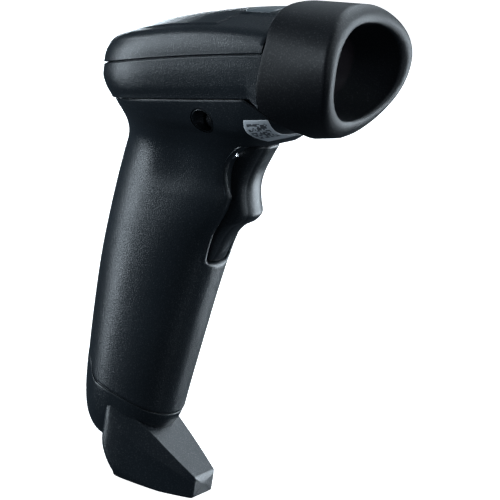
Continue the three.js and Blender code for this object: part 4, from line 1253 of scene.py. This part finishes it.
@dataclass
class BaseCap:
    """The base cap: a rounded collar under the grip, joined to the faceted foot."""

    # rear x, rear z, front x, front z and half width, from the top down
    collar: Pairs = ((-52.1, 44, -15.1, 42, 15.1), (-51.8, 34, -16.4, 32, 14.7),
                     (-51.2, 24.5, -17.6, 24, 13.2), (-49.6, 17.4, -19.3, 20, 11.6),
                     (-46.2, 12.2, -22, 17, 9.4), (-41, 9.2, -26, 15, 6.2))
    cap_seam: Pairs = Grip.cap_seam
    # the foot's half widths at its sides and at its flat top, then its heights, all over x
    plan: Pairs = ((-38.9, 0.3), (-38.7, 6.5), (-37.6, 11.9), (-35.6, 13.5), (-31, 13.6),
                   (-25.9, 13.0), (-18.4, 11.5), (-11.3, 9.5), (-4.6, 6.95), (-3.0, 6.4))
    brow: Pairs = ((-38.9, 0.2), (-38.7, 6.3), (-37.6, 11.6), (-35.6, 13.1), (-29.8, 12.2),
                   (-21.1, 10.1), (-12, 8.4), (-3.0, 6.2))
    crease: Pairs = ((-38.9, 21.5), (-31, 17.6), (-25.9, 15.2), (-18.4, 11.9), (-11.3, 9.0),
                     (-4.6, 5.8), (-3, 5.0))
    under: Pairs = ((-38.9, 14.0), (-38.2, 11.6), (-36.4, 7.2), (-33.8, 3.6), (-31, 1), (-28.4, 0),
                    (-4.6, 0), (-3.2, 1.4), (-3.0, 2.4))
    top: Pairs = ((-38.9, 26.6), (-35.6, 26.2), (-29.8, 23.9), (-21.1, 19.3), (-12, 13.4), (-3.0, 7.4))
    edge: float = 0.55
    heel_round: Pairs = ((-36, 6.0), (-28, 4.5), (-14, 0.6))
    # x, radius and top of the holes for the contacts and the screw
    holes: Pairs = ((-20.0, 1.8, 5.6), (-12.0, 1.8, 5.6), (-33.0, 2.9, 9.8))
    collar_length: float = 42.0
    rim: float = 0.45

    def collar_rings(self) -> Array:
        """The collar: superellipse sections from the seam down to the rounded bottom."""
        angle = np.linspace(0, math.pi, 90)[None]

        def section(t: Array, inset: Array | float) -> Array:
            """Half sections at shares t of the way down, drawn in by an inset."""
            row = spline(self.collar, t)
            rear, front, half = row[..., 0:2], row[..., 2:4], row[..., 4]
            length = np.linalg.norm(front - rear, axis=-1)
            unit = (front - rear) / length[..., None]
            c, s = squircle(angle, 2.3)
            d = (length / 2 - inset) * c
            middle = (rear + front) / 2
            return np.stack(np.broadcast_arrays(middle[..., 0] + unit[..., 0] * d, (half - inset) * s,
                                                middle[..., 1] + unit[..., 1] * d), -1)

        lo, hi = np.full_like(angle, 0.0), np.full_like(angle, 0.75)
        for _ in range(36):
            mid = (lo + hi) / 2
            p = section(mid, 0.0)
            above = p[..., 2] > read(self.cap_seam, p[..., 0]) - GAP / 2
            lo, hi = np.where(above, mid, lo), np.where(above, hi, mid)
        insets, ways = roll(self.rim)
        per_mm = 1 / self.collar_length
        tongue = lo - TONGUE * per_mm
        foot, tip, closed = TONGUE_INSETS
        rows = [section(tongue, closed), section(tongue, tip), section(lo, foot)]
        rows += [section(lo + way * per_mm, inset) for inset, way in zip(insets, ways)]
        start = lo + self.rim * per_mm
        rows += [section(start + (1 - start) * u, 0.0) for u in np.linspace(0.01, 1, 60)]
        return mirrored(np.concatenate(rows))

    def foot_rings(self) -> Array:
        """The foot: sections across it from heel to tip, each a flat bottom, upright sides up to the
        slanted facets, the facets, and the sloping top, with rounded corners."""
        x = np.concatenate([np.linspace(-38.8, -31, 44, endpoint=False), np.linspace(-31, -3.0, 90)])
        half = np.maximum(self.smooth_read(self.plan, x), 0.3)
        low = np.maximum(self.smooth_read(self.under, x), 0)
        top = self.smooth_read(self.top, x)
        crease = np.clip(self.smooth_read(self.crease, x), low + 1.2, top - 0.15)
        flat = np.clip(self.smooth_read(self.brow, x), 0.2, half - 0.05)
        end = np.clip((x[-1] - x) / 0.6, 0, 1)
        shrink = self.edge * (1 - np.sqrt(np.clip(1 - (1 - end) ** 2, 0, 1)))
        half, flat = half - shrink, flat - shrink
        low, top, crease = low + shrink, top - shrink, crease - shrink * 0.5
        r = np.minimum(read(self.heel_round, x), np.minimum(half, crease - low) * 0.7)

        slope = pair(flat - half, top - crease)
        slope = slope / np.maximum(np.linalg.norm(slope, axis=-1, keepdims=True), 0.05)
        rr = np.minimum(r, 0.3)[:, None]
        bend, brow = pair(half, crease), pair(flat, top)
        half_path = np.concatenate([
            stroke(pair(0 * x, low), pair(half - r, low), 8),
            corner(pair(half - r, low), pair(half, low), pair(half, low + r), 6),
            stroke(pair(half, low + r), pair(half, crease - rr[:, 0]), 12),
            corner(pair(half, crease - rr[:, 0]), bend, bend + slope * rr, 5),
            stroke(bend + slope * rr, brow - slope * rr, 8),
            corner(brow - slope * rr, brow, pair(flat - rr[:, 0], top), 5),
            corner(pair(flat - rr[:, 0], top), pair(flat / 2, top), pair(0 * x, top), 9, closed=True),
        ], 1)
        rings = np.stack(np.broadcast_arrays(x[:, None], half_path[..., 0], half_path[..., 1]), -1)
        return mirrored(rings)

    @staticmethod
    def smooth_read(points: Pairs, x: Array) -> Array:
        """A table's second column as a smooth function of its first."""
        samples = spline(points, np.linspace(0, 1, 400))
        return np.interp(x, np.maximum.accumulate(samples[:, 0]), samples[:, 1])

    def bore(self, x: float, radius: float, z_top: float) -> Object:
        """A cutting solid for a round hole in the underside, flared at its mouth.

        Args:
            x: place on the middle line.
            radius: of the hole.
            z_top: how high it reaches.

        Returns:
            The cutting solid.
        """
        turn = full_turn(40)
        rows = ((0.4, -3.0), (0.4, 0.0), (0.12, 0.12), (0.0, 0.4), (0.0, z_top))
        rings = np.stack([np.stack([x + (radius + flare) * np.cos(turn), (radius + flare) * np.sin(turn),
                                    np.full_like(turn, z)], -1) for flare, z in rows])
        return ring_mesh("bore_cutter", rings)

    def build(self) -> None:
        """Makes the cap as one moulding with holes for its contacts and its screw."""
        cap = ring_mesh("foot_cap", self.collar_rings())
        combine(cap, ring_mesh("foot_block", self.foot_rings(), 25), Cut.JOIN, 25)
        for x, radius, z_top in self.holes:
            combine(cap, self.bore(x, radius, z_top), Cut.AWAY, 25)
        set_down(cap, CAP, "casing", "housing", "base_cap")


@dataclass
class TriggerLever:
    """The trigger: a scooped face with a knob and a tail, hollow behind, with the switch's rib."""

    front: Pairs = ((3.5, 122.4), (2.8, 121.2), (0.7, 115.9), (-0.8, 111.4), (-1.4, 106.8),
                    (-0.6, 102.2), (0.5, 98.9), (0.3, 97.1), (-1.4, 95), (-4.2, 93), (-6.4, 90),
                    (-7.9, 86.6), (-9, 83), (-9.9, 80.4), (-10.3, 79.0))
    back: Pairs = ((-12.5, 79.0), (-12.8, 80.4), (-13.6, 86), (-12.6, 92), (-10.2, 99), (-10.2, 107),
                   (-10.4, 114), (-9.2, 119.2), (-4.6, 121.2), (-3.0, 122.4))
    half: Pairs = ((79.6, 5.0), (95.0, 6.8))
    wall: float = 1.8
    face: float = 2.4
    hollow: tuple[float, float] = (84.0, 112.5)
    span: tuple[float, float] = (79.5, 121.8)
    end_round: float = 1.3
    side_round: float = 2.3
    nose: float = 0.9
    rib_height: float = 107.0

    def rings(self) -> Array:
        """Level sections: a U whose front is slightly crowned and round-cornered, closed by its own
        inner wall, with both ends of the lever rounded over."""
        low, high = self.span
        z = low + (high - low) * (1 - np.cos(np.linspace(0, math.pi, 150))) / 2
        near_end = np.minimum(z - low, high - z)
        past = np.clip(1 - near_end / self.end_round, 0, 1)
        shrink = self.end_round * (1 - np.sqrt(np.clip(1 - past**2, 0, 1)))
        half = read(self.half, z) - shrink
        front = height_curve(self.front)(z) - shrink
        back = height_curve(self.back)(z) + shrink * 0.6
        open_ = smooth_step((z - self.hollow[0]) / 0.8) * smooth_step((self.hollow[1] - z) / 0.8)
        within = half - self.wall
        inner = back + 0.04 + (front - self.face - back - 0.04) * open_
        r = np.minimum(self.side_round, (front - back) * 0.4)

        nose = self.nose
        path = np.concatenate([
            corner(pair(front, 0 * z), pair(front, half * 0.5), pair(front - nose, half - r), 9),
            corner(pair(front - nose, half - r), pair(front - nose * 1.4, half),
                   pair(front - r - nose, half), 9),
            stroke(pair(front - r - nose, half), pair(back + 0.4, half), 8),
            corner(pair(back + 0.4, half), pair(back, half), pair(back, half - 0.4), 4),
            stroke(pair(back, half - 0.4), pair(back, within), 2),
            stroke(pair(back, within), pair(inner, within), 8),
            stroke(pair(inner, within), pair(inner, 0 * z), 5),
            pair(inner, 0 * z)[:, None, :],
        ], 1)
        rings = np.stack(np.broadcast_arrays(path[..., 0], path[..., 1], z[:, None]), -1)
        return mirrored(rings)

    def rib(self) -> Array:
        """The rib that presses the switch: a rounded square bar with softened ends."""
        turn = full_turn(32)
        c, s = squircle(turn, 6.0)
        rows = ((-8.6, 1.2), (-8.45, 1.42), (-8.2, 1.5), (-3.0, 1.5))
        return np.stack([np.stack([np.full_like(turn, x), r * c, self.rib_height + r * s], -1)
                         for x, r in rows])

    def build(self) -> None:
        """Makes the lever and its rib."""
        lever = ring_mesh("trigger_lever", self.rings(), 40)
        set_down(lever, TRIGGER, "trigger", "trigger", "trigger")
        set_down(ring_mesh("trigger_rib", self.rib()), TRIGGER, "trigger", "trigger")


@dataclass
class Insides:
    """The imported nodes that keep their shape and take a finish: fasteners, battery, boards, optics."""

    dressed: tuple[tuple[Finish, tuple[str, ...]], ...] = (
        (RUBBER, ("window_gasket",)),
        (STEEL, ("trigger_pin", "trigger_spring", "right_side_screw", "left_side_screw", "base_cap_screw",
                 "battery_spring_contact", "battery_top_contact")),
        (GOLD, ("charge_contact_1", "charge_contact_2")),
        (CELL, ("battery_cell",)),
        (CHASSIS, ("battery_chassis", "engine_bracket", "switch_plunger")),
        (BOARD, ("contact_board", "switch_board", "main_board", "engine_board", "led_board")),
        (CHIP, ("switch_body", "processor", "buzzer", "lens_barrel")),
        (CAN, ("radio_module",)),
        (ENGINE, ("scan_engine_chassis",)),
        (GLASS, ("objective_lens",)),
        (LED, ("right_illumination_led", "left_illumination_led", "status_led")),
        (FLEX, ("switch_flex_cable",)),
    )

    def build(self) -> None:
        """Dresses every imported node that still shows."""
        for finish, names in self.dressed:
            for name in names:
                finish.dress(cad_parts[name])
                LOG.info("%s: packed node in %s", name, finish.name)


# ------------------------------------------------------------------ studio


@dataclass
class Studio:
    """Camera, floor, soft boxes and the pale surround."""

    azimuth: float = 30.0
    elevation: float = 9.5
    pitch: float = 10.4
    distance: float = 0.75
    focal: float = 167.4
    target: tuple[float, float, float] = (0.01185, 0.0, 0.086)
    lit: tuple[float, float, float] = (0.0, 0.0, 0.09)
    light_colour: Colour = (0.8, 0.91, 1.0)
    # name, azimuth, elevation, distance, size and watts of each soft box
    lights: tuple[tuple, ...] = (
        ("back_box", 178, 42, 0.9, (0.8, 0.3), 6.0),
        ("rear_box", -54, 4, 0.8, (0.2, 0.9), 12.0),
        ("left_rim", -140, 0, 0.9, (0.22, 0.26), 3.4),
        ("right_rim", 152, 0, 0.9, (0.22, 0.7), 10.0),
        ("trigger_box", 112, 6, 0.9, (0.45, 0.3), 0.9),
        ("front_strip", 78, 6, 0.9, (0.14, 0.8), 1.7),
        ("front_top", 86, 44, 1.0, (0.3, 0.2), 2.0),
        ("fill", 40, 14, 1.2, (0.6, 0.4), 0.55),
    )

    def axes(self) -> tuple[Vector, Vector, Vector]:
        """The camera's right, up and back directions: a plain orbit pitched with the head about Y."""
        a = math.radians(self.azimuth)
        back = self.direction(self.azimuth, self.elevation)
        right = Vector((math.cos(a), math.sin(a), 0.0))
        turn = Matrix.Rotation(-math.radians(self.pitch), 3, "Y")
        return turn @ right, turn @ back.cross(right), turn @ back

    def camera(self) -> None:
        """Makes the camera at the object's usual viewing angle."""
        right, up, back = self.axes()
        data = bpy.data.cameras.new("studio_camera")
        data.lens, data.sensor_width = self.focal, 36.0
        data.clip_start, data.clip_end = 0.05, 20.0
        camera = bpy.data.objects.new("studio_camera", data)
        bpy.context.scene.collection.objects.link(camera)
        camera.matrix_world = Matrix((
            (right.x, up.x, back.x, self.target[0] + back.x * self.distance),
            (right.y, up.y, back.y, self.target[1] + back.y * self.distance),
            (right.z, up.z, back.z, self.target[2] + back.z * self.distance),
            (0.0, 0.0, 0.0, 1.0)))
        bpy.context.scene.camera = camera

    @staticmethod
    def direction(azimuth: float, elevation: float) -> Vector:
        """The way to a place seen from the object, azimuth 0 at its right side, in degrees."""
        a, e = math.radians(azimuth), math.radians(elevation)
        return Vector((math.sin(a) * math.cos(e), -math.cos(a) * math.cos(e), math.sin(e)))

    def soft_box(self, name: str, azimuth: float, elevation: float, away: float,
                 size: tuple[float, float], power: float) -> None:
        """Hangs a rectangular soft box that looks at the object.

        Args:
            name: the light's name.
            azimuth, elevation: where it hangs, in degrees, 0 at the object's right side.
            away: distance in metres.
            size: width and height in metres.
            power: watts.
        """
        data = bpy.data.lights.new(name, "AREA")
        data.shape, data.size, data.size_y = "RECTANGLE", *size
        data.energy, data.color = power, self.light_colour
        light = bpy.data.objects.new(name, data)
        bpy.context.scene.collection.objects.link(light)
        way = self.direction(azimuth, elevation)
        light.location = Vector(self.lit) + way * away
        light.rotation_mode = "QUATERNION"
        light.rotation_quaternion = way.to_track_quat("Z", "Y")

    def surround(self) -> None:
        """Makes the pale surround: white to the camera, dim and cool as a light."""
        world = bpy.data.worlds.new("surround")
        world.use_nodes = True
        bpy.context.scene.world = world
        tree = world.node_tree
        tree.nodes.clear()
        dim, bright = tree.nodes.new("ShaderNodeBackground"), tree.nodes.new("ShaderNodeBackground")
        dim.inputs["Color"].default_value, dim.inputs["Strength"].default_value = (0.62, 0.8, 1.0, 1), 0.07
        bright.inputs["Color"].default_value = (1.0, 1.0, 1.0, 1)
        mix, out = tree.nodes.new("ShaderNodeMixShader"), tree.nodes.new("ShaderNodeOutputWorld")
        feed(tree, mix.inputs[0], tree.nodes.new("ShaderNodeLightPath").outputs["Is Camera Ray"])
        feed(tree, mix.inputs[1], dim.outputs[0])
        feed(tree, mix.inputs[2], bright.outputs[0])
        feed(tree, out.inputs["Surface"], mix.outputs[0])

    def floor(self) -> None:
        """Lays a plain pale floor under the foot."""
        mesh = bpy.data.meshes.new("studio_floor")
        mesh.from_pydata([(-4, -4, 0), (4, -4, 0), (4, 4, 0), (-4, 4, 0)], [], [(0, 1, 2, 3)])
        floor = bpy.data.objects.new("studio_floor", mesh)
        bpy.context.scene.collection.objects.link(floor)
        material = bpy.data.materials.new("pale_floor")
        material.use_nodes = True
        shader = material.node_tree.nodes["Principled BSDF"]
        shader.inputs["Base Color"].default_value = (0.9, 0.9, 0.9, 1)
        shader.inputs["Roughness"].default_value = 0.8
        shader.inputs["Emission Color"].default_value = (1, 1, 1, 1)
        shader.inputs["Emission Strength"].default_value = 1.0
        mesh.materials.append(material)
        floor.visible_glossy = False
        floor.visible_diffuse = False

    def build(self) -> None:
        """Sets up the camera, the surround, the floor and the lights."""
        self.camera()
        self.surround()
        self.floor()
        for light in self.lights:
            self.soft_box(*light)
        bpy.context.scene.view_settings.view_transform = "Standard"


def main() -> None:
    logging.basicConfig(level=logging.INFO, format="%(name)s: %(message)s")
    for part in (Studio(), Grip(), Head(), Hood(), BaseCap(), TriggerLever(), Insides()):
        part.build()


if __name__ == "__main__":
    main()
